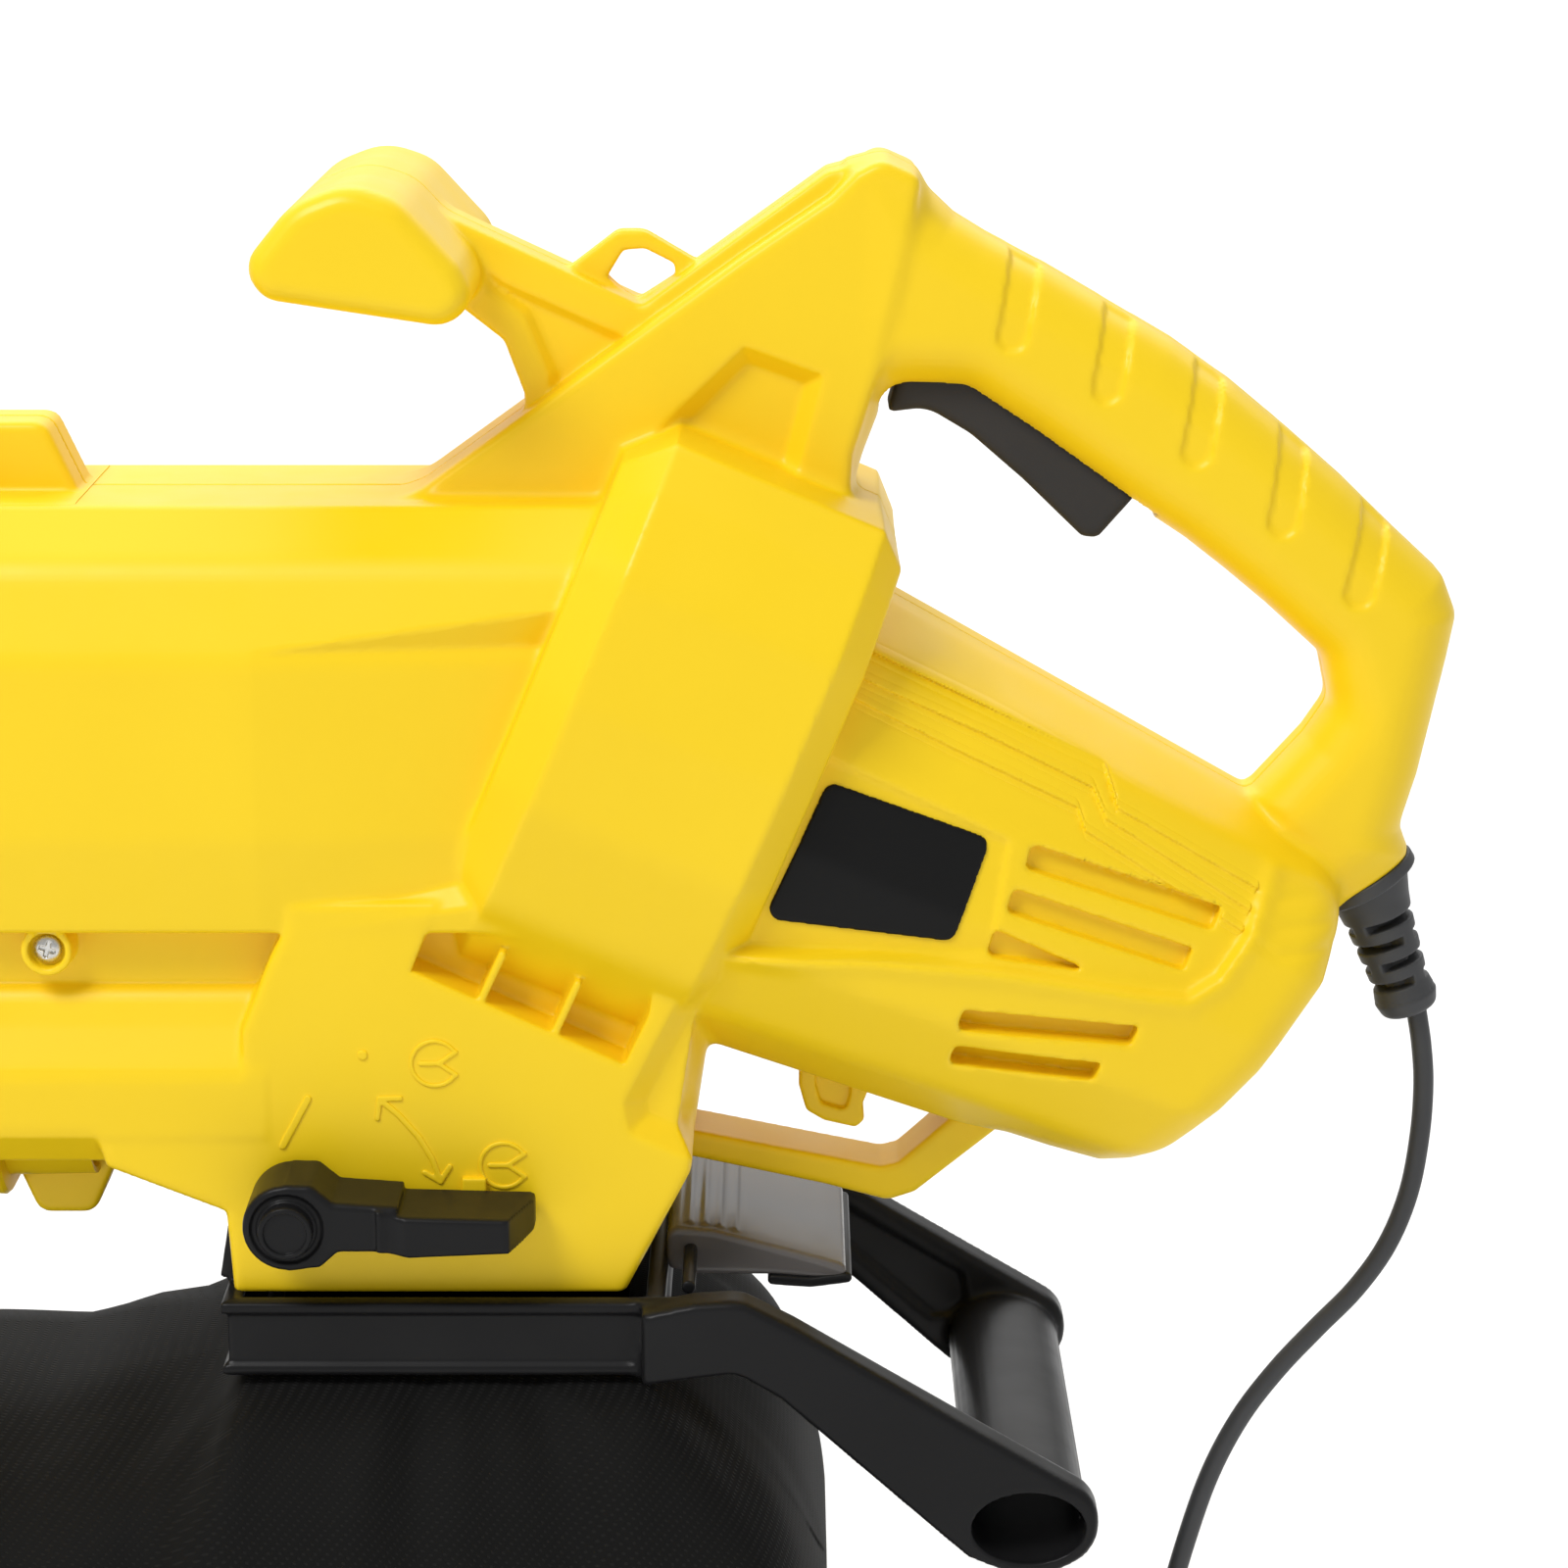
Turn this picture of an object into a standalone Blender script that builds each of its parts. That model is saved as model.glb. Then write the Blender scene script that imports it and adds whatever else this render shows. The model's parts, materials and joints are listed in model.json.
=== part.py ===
"""Hand-held electric garden blower and vacuum with a twin tube and a collection bag.

Run it with: blender --background --python part.py
Outlines below are in millimetres in the X-Z plane: X runs from the front of the tool to
its back, Z runs up from the floor under the bag, and Y = 0 is the casing's parting plane.
Left is the side at -Y. Everything is scaled to metres and hangs from one empty.
"""

from math import atan2, copysign, cos, hypot, pi, radians, sin, tan

import bmesh
import bpy
from mathutils import Matrix, Vector

MM = 0.001
GAP = 0.3                      # clearance between two pieces that touch
TURNED_SHIFT = 0.45            # how far each turned half shell stands off the parting plane
WALL = 2.5                     # moulded wall thickness
LEFT = -1
RIGHT = 1

# Driving dimensions
NOZZLE_TIP_X = -712.0          # mouth of the suction tube
MOUTH_CUTBACK = 45.0           # how far the mouth's lower edge lies behind its upper one
HANDLE_BACK_X = 292.4          # rearmost point of the grip
SHIFT_X = -(NOZZLE_TIP_X + HANDLE_BACK_X) / 2   # puts the origin in the middle of the length

MOTOR_TILT = radians(23.0)     # the motor axis points down to the rear
DRUM_FRONT = (24.0, 484.0)     # where the motor axis meets the front of the fan drum
DRUM_RADIUS = 78.0
DRUM_LENGTH = 80.0
INLET_RADIUS = 50.0
BARREL_PROFILE = ((69, 80.6), (67, 140), (63, 185), (55, 205), (44, 222), (24, 235), (7, 240))

DUCT_START_X = -127.0          # front rim of the casing, where the tubes plug in
DUCT_TOP = 544.0
DUCT_BOTTOM = 427.0
DUCT_HALF = 62.0
DUCT_FLAT_HALF = 32.0          # half width of the flat along the duct's top
TAB_BACK_X = -107.0            # the upright tab on the duct that the suction tube clips to
TAB_HALF = 12.5
TAB_HEIGHT = 19.5

STUB_TOP = 413.0
STUB_BOTTOM = 340.0
STUB_HALF = 45.0
STUB_BACK_X = -59.2
FOOT_HALF = 11.0               # half width of the foot under the stub and of the guard loop

CHUTE_HALF = 60.0
CHUTE_BOTTOM = 321.0

HANDLE_HALF = 21.0
GRIP_BAR_HALF = 60.0           # half length of the auxiliary handle's cross bar
GRIP_BAR_CENTRE = (-14.5, 615.5)

SELECTOR_PIVOT = (-38.0, 350.0)
SELECTOR_SHAFT_RADIUS = 4.5
FLAP_LENGTH = 78.0

TRIGGER_PIVOT = (137.5, 579.5)
TRIGGER_HALF = 10.0
PIVOT_PIN_RADIUS = 2.0         # the trigger's pin and the latch's

COLLAR_FRONT_X = -57.0
COLLAR_BACK_X = 65.0
COLLAR_HALF = 68.0
COLLAR_LIP = 299.5             # underside of the bag frame's collar
COLLAR_TOP = 320.0
ARM_THICKNESS = 11.0
CARRY_TUBE = (170.0, 257.0)
CARRY_TUBE_RADIUS = 13.0

LATCH_PIVOT = (73.0, 324.0)
LATCH_HALF = 34.0

CLOTH_THICKNESS = 3.0          # the bag's cloth, drawn thicker than it is so that it makes a solid

CORD_DIAMETER = 6.0
RELIEF_TOP = (270.4, 427.6)    # middle of the gland face under the grip
RELIEF_TIP = (287.0, 387.0)

PALETTE = {
    "casing_yellow": ((0.93, 0.62, 0.02), 0.34, 0.0),
    "guard_yellow": ((0.93, 0.62, 0.02), 0.36, 0.0),
    "frame_black": ((0.03, 0.03, 0.032), 0.38, 0.0),
    "trigger_grey": ((0.06, 0.06, 0.065), 0.7, 0.0),
    "label_black": ((0.015, 0.015, 0.016), 0.25, 0.0),
    "bag_cloth": ((0.02, 0.02, 0.022), 0.9, 0.0),
    "cord_rubber": ((0.045, 0.045, 0.05), 0.65, 0.0),
    "steel": ((0.6, 0.6, 0.6), 0.3, 1.0),
    "laminated_steel": ((0.3, 0.3, 0.32), 0.45, 1.0),
    "copper": ((0.75, 0.36, 0.2), 0.35, 1.0),
    "brass": ((0.8, 0.62, 0.25), 0.3, 1.0),
    "nylon_black": ((0.04, 0.04, 0.045), 0.5, 0.0),
}


# ---------------------------------------------------------------- scene and helpers

for old in list(bpy.data.objects):
    bpy.data.objects.remove(old)

parts = bpy.data.collections.new("blower_vacuum")
cutters = bpy.data.collections.new("cutters")
bpy.context.scene.collection.children.link(parts)
bpy.context.scene.collection.children.link(cutters)

root = bpy.data.objects.new("blower_origin", None)
root.location = (SHIFT_X * MM, 0, 0)
parts.objects.link(root)


def material(slot):
    """One Principled material per slot, made once."""
    made = bpy.data.materials.get(slot)
    if made:
        return made
    colour, roughness, metallic = PALETTE[slot]
    made = bpy.data.materials.new(slot)
    made.use_nodes = True
    shader = made.node_tree.nodes["Principled BSDF"]
    shader.inputs["Base Color"].default_value = (*colour, 1)
    shader.inputs["Roughness"].default_value = roughness
    shader.inputs["Metallic"].default_value = metallic
    return made


def add_object(name, mesh, slot, matrix=None):
    """Link a mesh in the parts collection under the root empty."""
    obj = bpy.data.objects.new(name, mesh)
    mesh.materials.clear()
    mesh.materials.append(material(slot))
    parts.objects.link(obj)
    obj.parent = root
    if matrix is not None:
        obj.matrix_local = matrix
    return obj


def finish_mesh(bm, name, scale=MM):
    """Turn a bmesh drawn in millimetres into a mesh in metres."""
    bmesh.ops.scale(bm, vec=(scale, scale, scale), verts=bm.verts)
    mesh = bpy.data.meshes.new(name)
    bm.to_mesh(mesh)
    bm.free()
    return mesh


def smooth(obj, angle=35.0):
    obj.data.shade_smooth()
    obj.data.set_sharp_from_angle(angle=radians(angle))


def rounded(corners, steps=4):
    """Outline from (x, z, fillet radius) corners, with arcs in place of the corners."""
    points = []
    count = len(corners)
    for index, (x, z, radius) in enumerate(corners):
        if radius == 0:
            points.append((x, z))
            continue
        before = Vector(corners[index - 1][:2]) - Vector((x, z))
        after = Vector(corners[(index + 1) % count][:2]) - Vector((x, z))
        before.normalize()
        after.normalize()
        half = before.angle(after) / 2
        reach = radius / tan(half)
        centre = Vector((x, z)) + (before + after).normalized() * (radius / sin(half))
        first = Vector((x, z)) + before * reach - centre
        last = Vector((x, z)) + after * reach - centre
        start = atan2(first.y, first.x)
        turn = (atan2(last.y, last.x) - start + pi) % (2 * pi) - pi
        for step in range(steps + 1):
            angle = start + turn * step / steps
            points.append((centre.x + radius * cos(angle), centre.y + radius * sin(angle)))
    return points


def circle(centre, radius, count=16):
    return [(centre[0] + radius * cos(2 * pi * k / count), centre[1] + radius * sin(2 * pi * k / count))
            for k in range(count)]


def curve_to_mesh(curve_object, name):
    """Mesh of an evaluated curve, with its caps welded; the curve itself is removed."""
    bpy.context.view_layer.update()
    evaluated = curve_object.evaluated_get(bpy.context.evaluated_depsgraph_get())
    mesh = bpy.data.meshes.new_from_object(evaluated)
    mesh.name = name
    bm = bmesh.new()
    bm.from_mesh(mesh)
    bmesh.ops.remove_doubles(bm, verts=bm.verts, dist=0.00001)
    bm.transform(curve_object.matrix_world)
    bm.to_mesh(mesh)
    bm.free()
    curve = curve_object.data
    bpy.data.objects.remove(curve_object)
    bpy.data.curves.remove(curve)
    return mesh


def plate_mesh(name, outlines, y_from, y_to):
    """Flat outlines in X-Z, the first one solid and the others holes, thick along Y."""
    curve = bpy.data.curves.new(name, "CURVE")
    curve.dimensions = "2D"
    curve.fill_mode = "BOTH"
    curve.extrude = abs(y_to - y_from) / 2 * MM
    for outline in outlines:
        spline = curve.splines.new("POLY")
        spline.points.add(len(outline) - 1)
        for point, (x, z) in zip(spline.points, outline):
            point.co = (x * MM, z * MM, 0, 1)
        spline.use_cyclic_u = True
    curve_object = bpy.data.objects.new(name, curve)
    parts.objects.link(curve_object)
    curve_object.rotation_euler = (pi / 2, 0, 0)
    curve_object.location = (0, (y_from + y_to) / 2 * MM, 0)
    return curve_to_mesh(curve_object, name)


def plate(name, outlines, y_from, y_to, slot):
    return add_object(name, plate_mesh(name, outlines, y_from, y_to), slot)


def rod_mesh(name, points, radius, sides=2):
    """Round wire along points in millimetres, with filled ends."""
    curve = bpy.data.curves.new(name, "CURVE")
    curve.dimensions = "3D"
    curve.bevel_depth = radius * MM
    curve.bevel_resolution = sides
    curve.use_fill_caps = True
    spline = curve.splines.new("POLY")
    spline.points.add(len(points) - 1)
    for point, place in zip(spline.points, points):
        point.co = (place[0] * MM, place[1] * MM, place[2] * MM, 1)
    curve_object = bpy.data.objects.new(name, curve)
    parts.objects.link(curve_object)
    return curve_to_mesh(curve_object, name)


def axis_matrix(centre, direction, side=LEFT):
    """Local Z along an X-Z direction through centre; local Y points to the given side."""
    along = Vector((direction[0], 0, direction[1])).normalized()
    across = Vector((0, side, 0))
    up = across.cross(along)
    frame = Matrix((up, across, along)).transposed().to_4x4()
    return Matrix.Translation(Vector((centre[0], 0, centre[1])) * MM) @ frame


MOTOR_DIRECTION = (cos(MOTOR_TILT), -sin(MOTOR_TILT))
MOTOR_MATRIX = {side: axis_matrix(DRUM_FRONT, MOTOR_DIRECTION, side) for side in (LEFT, RIGHT)}


def turned(name, profile, slot, matrix, steps=24, angle=2 * pi, thickness=0.0, smooth_angle=35.0):
    """Profile of (radius, height) turned about local Z; thickness makes a shell of it."""
    bm = bmesh.new()
    verts = [bm.verts.new((radius, 0, height)) for radius, height in profile]
    for first, second in zip(verts, verts[1:]):
        bm.edges.new((first, second))
    if not thickness:
        bm.edges.new((verts[-1], verts[0]))
    obj = add_object(name, finish_mesh(bm, name), slot, matrix)
    screw = obj.modifiers.new("turn", "SCREW")
    screw.angle = angle
    screw.steps = steps
    screw.render_steps = steps
    screw.merge_threshold = 0.00001
    screw.use_merge_vertices = angle > 6
    screw.use_normal_calculate = False
    screw.use_smooth_shade = True
    if thickness:
        shell = obj.modifiers.new("wall", "SOLIDIFY")
        shell.thickness = thickness * MM
        shell.offset = -1
        shell.use_even_offset = True
    return obj


def ring_profile(inner, outer, start, end):
    """Closed profile of a plain ring, down its outer side and up its bore."""
    return [(outer, end), (outer, start), (inner, start), (inner, end)]


def ring(name, inner, outer, start, end, slot, steps=24):
    """Ring about the motor axis, from start to end along it."""
    return turned(name, ring_profile(inner, outer, start, end), slot, MOTOR_MATRIX[LEFT], steps)


def cutter(name, mesh):
    obj = bpy.data.objects.new(name, mesh)
    cutters.objects.link(obj)
    obj.parent = root
    obj.hide_render = True
    obj.display_type = "WIRE"
    return obj


def boolean(obj, tool, operation="DIFFERENCE"):
    step = obj.modifiers.new(operation.lower(), "BOOLEAN")
    step.operation = operation
    step.object = tool
    step.solver = "EXACT"


def join(obj, mesh):
    """Union of an object with one more mesh, kept as a hidden tool."""
    boolean(obj, cutter(obj.name + "_add", mesh), "UNION")


def cut(obj, mesh):
    boolean(obj, cutter(obj.name + "_cut", mesh))


def box_mesh(name, low, high):
    bm = bmesh.new()
    bmesh.ops.create_cube(bm, size=1.0)
    size = Vector(high) - Vector(low)
    bmesh.ops.scale(bm, vec=size, verts=bm.verts)
    bmesh.ops.translate(bm, vec=(Vector(low) + Vector(high)) / 2, verts=bm.verts)
    return finish_mesh(bm, name)


def motor_cylinder_mesh(name, radius, start, end, sides=48):
    """Solid cylinder about the motor axis, used to clear room for the fan drum."""
    bm = bmesh.new()
    bmesh.ops.create_cone(bm, cap_ends=True, segments=sides, radius1=radius * MM,
                          radius2=radius * MM, depth=(end - start) * MM)
    middle = Matrix.Translation((0, 0, (start + end) / 2 * MM))
    bm.transform(MOTOR_MATRIX[LEFT] @ middle)
    return finish_mesh(bm, name, 1.0)


def tray(name, outline, side, half_width, slot):
    """Half shell: a side wall at half_width with a rim back to the parting plane."""
    bm = bmesh.new()
    verts = [bm.verts.new((x, side * half_width, z)) for x, z in outline]
    face = bm.faces.new(verts)
    made = bmesh.ops.extrude_edge_only(bm, edges=bm.edges[:])
    for item in made["geom"]:
        if isinstance(item, bmesh.types.BMVert):
            item.co.y = side * GAP / 2
    bmesh.ops.recalc_face_normals(bm, faces=bm.faces)
    if face.normal.y * side < 0:
        bmesh.ops.reverse_faces(bm, faces=bm.faces)
    obj = add_object(name, finish_mesh(bm, name), slot)
    shell = obj.modifiers.new("wall", "SOLIDIFY")
    shell.thickness = WALL * MM
    shell.offset = -1
    shell.use_even_offset = True
    return obj


def loft_tube(name, stations, slot):
    """Closed tube skin through rings of equal point count, the last joined to the first."""
    bm = bmesh.new()
    rings = [[bm.verts.new(point) for point in station] for station in stations]
    count = len(rings[0])
    for first, second in zip(rings, rings[1:] + rings[:1]):
        for k in range(count):
            after = (k + 1) % count
            bm.faces.new((first[k], first[after], second[after], second[k]))
    bmesh.ops.recalc_face_normals(bm, faces=bm.faces)
    return add_object(name, finish_mesh(bm, name), slot)


def drum_front_x(z):
    """X of the drum's tilted front plane at height z."""
    return DRUM_FRONT[0] + (z - DRUM_FRONT[1]) * tan(MOTOR_TILT)


SIDES = (("left", LEFT), ("right", RIGHT))


# ---------------------------------------------------------------- casing half shells

def duct_section(half, top, bottom, flat):
    """Half section (y, z) of the suction duct, from the middle of its top to its floor."""
    return [(0, top), (flat, top), (half * 0.87, top - 16), (half, top - 48),
            (half, bottom + 26), (half * 0.93, bottom), (0, bottom)]


def make_duct_shell(name, side):
    """Front half shell around the suction duct; its rear end lies on the drum's front."""
    section = duct_section(DUCT_HALF, DUCT_TOP, DUCT_BOTTOM, DUCT_FLAT_HALF)
    bm = bmesh.new()
    front = []
    back = []
    for y, z in section:
        offset = side * max(y, GAP / 2)
        front.append(bm.verts.new((DUCT_START_X, offset, z)))
        back.append(bm.verts.new((drum_front_x(z) - GAP - WALL * tan(MOTOR_TILT), offset, z)))
    for k in range(len(section) - 1):
        bm.faces.new((front[k], front[k + 1], back[k + 1], back[k]))
    bmesh.ops.recalc_face_normals(bm, faces=bm.faces)
    bm.faces.ensure_lookup_table()
    if bm.faces[0].normal.z < 0:
        bmesh.ops.reverse_faces(bm, faces=bm.faces)
    obj = add_object(name, finish_mesh(bm, name), "casing_yellow")
    shell = obj.modifiers.new("wall", "SOLIDIFY")
    shell.thickness = WALL * MM
    shell.offset = -1
    shell.use_even_offset = True
    tab = box_mesh("tab", (DUCT_START_X, side * GAP / 2, DUCT_TOP - 1.5),
                   (TAB_BACK_X, side * TAB_HALF, DUCT_TOP + TAB_HEIGHT))
    join(obj, tab)
    return obj


def make_drum_half(name, side):
    """Half of the fan drum, open to the duct in front and to the chute below."""
    edge = 6
    profile = [(INLET_RADIUS, 0.2), (DRUM_RADIUS - edge, 0.2), (DRUM_RADIUS, edge),
               (DRUM_RADIUS, DRUM_LENGTH - edge), (DRUM_RADIUS - edge, DRUM_LENGTH), (16, DRUM_LENGTH)]
    matrix = Matrix.Translation((0, side * TURNED_SHIFT * MM, 0)) @ MOTOR_MATRIX[side]
    obj = turned(name, profile[::-1], "casing_yellow", matrix, 16, pi, WALL)
    outlet = box_mesh("outlet", (-30, -46, 340), (58, 46, 432))
    cut(obj, outlet)
    return obj


def make_chute_half(name, side):
    """Half of the lower casing that leads from the drum down to the bag."""
    outline = rounded([(-39.5, 426.5, 0), (-43, 420, 0), (-52, 399, 8), (-58, 344, 0),
                       (-56, CHUTE_BOTTOM - 5, 0), (52, CHUTE_BOTTOM - 5, 0), (74, 356, 8),
                       (79.5, 401, 0), (50, 426.5, 0)])
    obj = tray(name, outline, side, CHUTE_HALF, "casing_yellow")
    cut(obj, motor_cylinder_mesh("drum_room", DRUM_RADIUS + GAP + TURNED_SHIFT, -GAP, 100))
    cut(obj, box_mesh("bag_outlet", (-80, -80, CHUTE_BOTTOM - 20), (90, 80, CHUTE_BOTTOM)))
    cut(obj, box_mesh("blow_outlet", (-70, -40, 345), (-48, 40, 397)))
    shaft_hole = plate_mesh("shaft_hole", [circle(SELECTOR_PIVOT, SELECTOR_SHAFT_RADIUS + GAP)], -70, 70)
    cut(obj, shaft_hole)
    return obj


def make_motor_half(name, side):
    """Half of the motor barrel, tapering back to its domed end, with cooling slots."""
    matrix = Matrix.Translation((0, side * TURNED_SHIFT * MM, 0)) @ MOTOR_MATRIX[side]
    obj = turned(name, BARREL_PROFILE[::-1], "casing_yellow", matrix, 16, pi, WALL)
    for number in range(3):
        height = 440 - number * 13
        length = 46 - number * 8
        slot = box_mesh("slot", (-length / 2, 35, -3.2), (length / 2, 75, 3.2))
        turn = Matrix.Translation(Vector((192 - number * 5, 0, height)) * MM)
        tilt = Matrix.Rotation(radians(21), 4, "Y")
        flip = Matrix.Scale(side, 4, (0, 1, 0))
        slot.transform(turn @ tilt @ flip)
        if side == LEFT:
            slot.flip_normals()
        cut(obj, slot)
    return obj


def handle_outline():
    """C-shaped outline of the main handle, standing on the duct, the drum and the barrel."""
    corners = [(-10, 545, 0), (49, 545, 0), (51.5, 551.5, 0), (59, 555, 0), (118, 529.8, 0),
               (118.5, 541, 0), (123.5, 558, 0), (131, 572, 5), (148, 573.5, 5), (205, 536, 0),
               (240, 509.5, 0),
               (259, 491, 8), (257, 476, 8), (236, 457, 0), (247.5, 439.5, 0), (251.5, 421, 0),
               (260.5, 420, 0), (279.2, 437.2, 0), (278.4, 444.3, 0), (288, 483.5, 0),
               (HANDLE_BACK_X, 505.8, 6), (HANDLE_BACK_X - 3, 518.5, 6), (267.7, 538.5, 0),
               (235.4, 567.3, 0),
               (200.3, 591.6, 0), (149, 620.5, 10), (139, 634, 5), (112.8, 633, 12), (69.2, 604, 0),
               (45, 582, 0), (24.9, 565, 12), (-3, 546.5, 0)]
    return rounded(corners, 3)


def make_handle_half(name, side):
    """Half of the main handle, open where the trigger comes out and above the motor."""
    obj = tray(name, handle_outline(), side, HANDLE_HALF, "casing_yellow")
    slot = [(127, 562), (199, 529), (206, 541), (150, 587), (127, 587)]
    cut(obj, plate_mesh("trigger_slot", [slot], -TRIGGER_HALF - 1, TRIGGER_HALF + 1))
    return obj


def make_blow_stub():
    """Short oval duct that carries the blown air forward out of the lower casing."""
    corner = 17
    stations = []
    for x, grow in ((DUCT_START_X, 0), (STUB_BACK_X, 0), (STUB_BACK_X, -WALL), (DUCT_START_X, -WALL)):
        half = STUB_HALF + grow
        top = STUB_TOP + grow
        bottom = STUB_BOTTOM - grow
        stations.append([(x, half, top - corner), (x, half - corner, top),
                         (x, corner - half, top), (x, -half, top - corner),
                         (x, -half, bottom + corner), (x, corner - half, bottom),
                         (x, half - corner, bottom), (x, half, bottom + corner)])
    obj = loft_tube("blow_stub", stations, "casing_yellow")
    outline = [(-124, 341), (-122, 325), (-118, 321.8), (-111, 321.8), (-100, 341)]
    join(obj, plate_mesh("foot", [outline], -FOOT_HALF, FOOT_HALF))
    return obj


for side_name, side_sign in SIDES:
    make_duct_shell("duct_shell_" + side_name, side_sign)
    make_drum_half("fan_drum_" + side_name, side_sign)
    make_chute_half("chute_shell_" + side_name, side_sign)
    make_motor_half("motor_shell_" + side_name, side_sign)
    make_handle_half("handle_shell_" + side_name, side_sign)
make_blow_stub()


# ---------------------------------------------------------------- fittings on the casing

def make_front_handle():
    """Auxiliary cross bar with a rounded triangular section, on a neck of two ribs."""
    centre_x, centre_z = GRIP_BAR_CENTRE
    bar = rounded([(centre_x - 30, centre_z - 9, 8), (centre_x + 30, centre_z - 14, 8),
                   (centre_x + 1, centre_z + 24, 15)], 5)
    obj = plate("front_handle", [bar], -GRIP_BAR_HALF, GRIP_BAR_HALF, "casing_yellow")
    neck = rounded([(-2, 606, 0), (10, 619, 0), (42, 606.5, 0), (68, 604.4, 0), (44.2, 583, 0),
                    (27, 567.5, 0), (26.5, 572, 0), (19, 588, 6), (8, 596, 0), (-6, 604, 0)])
    join(obj, plate_mesh("neck", [neck], -20, 20))
    return obj


def make_strap_eye():
    """Wire-like loop over the neck, where the shoulder strap clips on."""
    arch = [(47, 0, 610.6), (49, 0, 613.5), (55, 0, 617), (62, 0, 616.8), (69, 0, 613.5),
            (73.5, 0, 611.6)]
    add_object("strap_eye", rod_mesh("strap_eye", arch, 3.4), "casing_yellow")


def make_lower_guard():
    """Flat loop under the motor barrel."""
    outer = [(80.5, 352), (82, 343), (127.8, 330.6), (133, 330.4), (139, 333), (165, 351.6)]
    inner = [(152, 355.0), (133.8, 341.3), (128, 341.3), (91, 349), (90, 352)]
    plate("lower_guard", [outer + inner], -FOOT_HALF, FOOT_HALF, "guard_yellow")


def make_cable_hook():
    """J-shaped hook that holds the extension lead's loop."""
    route = [(107.5, 0, 370), (106.5, 0, 361), (109, 0, 356), (115, 0, 353), (121, 0, 352.8)]
    add_object("cable_hook", rod_mesh("cable_hook", route, 2.6), "guard_yellow")


def make_label_plate():
    """Blank plate lying on the left side of the barrel."""
    outline = rounded([(112, 471, 5), (97, 434, 5), (146, 425, 5), (156, 453, 5)], 3)
    plate("label_plate", [outline], -70.6, -69.6, "label_black")


make_front_handle()
make_strap_eye()
make_lower_guard()
make_cable_hook()
make_label_plate()


# ---------------------------------------------------------------- twin tube in front

def make_suction_tube():
    """Wide upper tube; its mouth is cut back underneath and its spigot enters the duct."""
    tip = NOZZLE_TIP_X
    stations = []
    spigot = 30
    plan = ((tip, 0), (DUCT_START_X - GAP, 0), (DUCT_START_X - GAP, WALL + GAP),
            (DUCT_START_X + spigot, WALL + GAP), (DUCT_START_X + spigot, 2 * WALL + GAP),
            (DUCT_START_X - 6, 2 * WALL + GAP), (DUCT_START_X - 12, WALL), (tip, WALL))
    for x, inset in plan:
        section = duct_section(DUCT_HALF - inset, DUCT_TOP - inset, DUCT_BOTTOM + inset,
                               DUCT_FLAT_HALF - inset / 2)
        loop = [(y, z) for y, z in section[1:-1]]
        loop += [(-y, z) for y, z in reversed(loop)]
        slope = MOUTH_CUTBACK / (DUCT_TOP - DUCT_BOTTOM) if x == tip else 0
        stations.append([(x + (DUCT_TOP - z) * slope, y, z) for y, z in loop])
    loft_tube("suction_tube", stations, "casing_yellow")


def make_blow_tube():
    """Narrower lower tube that ends in an oval nozzle."""
    sides = 16
    square = 0.75
    spigot = 25
    plan = ((-640, 26, 24, 400), (-560, 30, 29, 394), (-170, 37, 34, 380),
            (DUCT_START_X - GAP, 44, 36.5, 376.5), (DUCT_START_X - GAP, 41.5, 33.2, 376.5),
            (DUCT_START_X + spigot, 41.5, 33.2, 376.5), (DUCT_START_X + spigot, 39, 31, 376.5),
            (DUCT_START_X - GAP, 39, 31, 376.5), (-170, 34.5, 31.5, 380),
            (-560, 27.5, 26.5, 394), (-640, 23.5, 21.5, 400))
    stations = []
    for x, half_width, half_height, middle in plan:
        stations.append([])
        for k in range(sides):
            angle = 2 * pi * (k + 0.5) / sides
            y = half_width * copysign(abs(cos(angle)) ** square, cos(angle))
            z = middle + half_height * copysign(abs(sin(angle)) ** square, sin(angle))
            stations[-1].append((x, y, z))
    loft_tube("blow_tube", stations, "casing_yellow")


make_suction_tube()
make_blow_tube()


# ---------------------------------------------------------------- motor, fan and bearings

def make_impeller():
    """Open fan: a back plate, a hub and twelve straight vanes."""
    vanes = 12
    outline = []
    for k in range(vanes):
        middle = 2 * pi * k / vanes
        for radius, spread in ((14, 0.5), (62, 0.02), (62, -0.02), (14, -0.5)):
            angle = middle - spread * pi / vanes * (1 if radius == 14 else 8)
            outline.append((radius * cos(angle), radius * sin(angle)))
    curve = bpy.data.curves.new("impeller", "CURVE")
    curve.dimensions = "2D"
    curve.fill_mode = "BOTH"
    curve.extrude = 16 * MM
    for points in (outline, circle((0, 0), 4.3)):
        spline = curve.splines.new("POLY")
        spline.points.add(len(points) - 1)
        for point, (x, y) in zip(spline.points, points):
            point.co = (x * MM, y * MM, 0, 1)
        spline.use_cyclic_u = True
    curve_object = bpy.data.objects.new("impeller", curve)
    parts.objects.link(curve_object)
    curve_object.location = (0, 0, 26 * MM)
    fan_mesh = curve_to_mesh(curve_object, "impeller")
    fan = add_object("impeller", fan_mesh, "nylon_black", MOTOR_MATRIX[LEFT])
    back = turned("impeller_back", ring_profile(4.3, 62, 41, 44), "nylon_black", MOTOR_MATRIX[LEFT], 32)
    boolean(fan, back, "UNION")
    parts.objects.unlink(back)
    cutters.objects.link(back)
    back.hide_render = True
    back.display_type = "WIRE"


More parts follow.
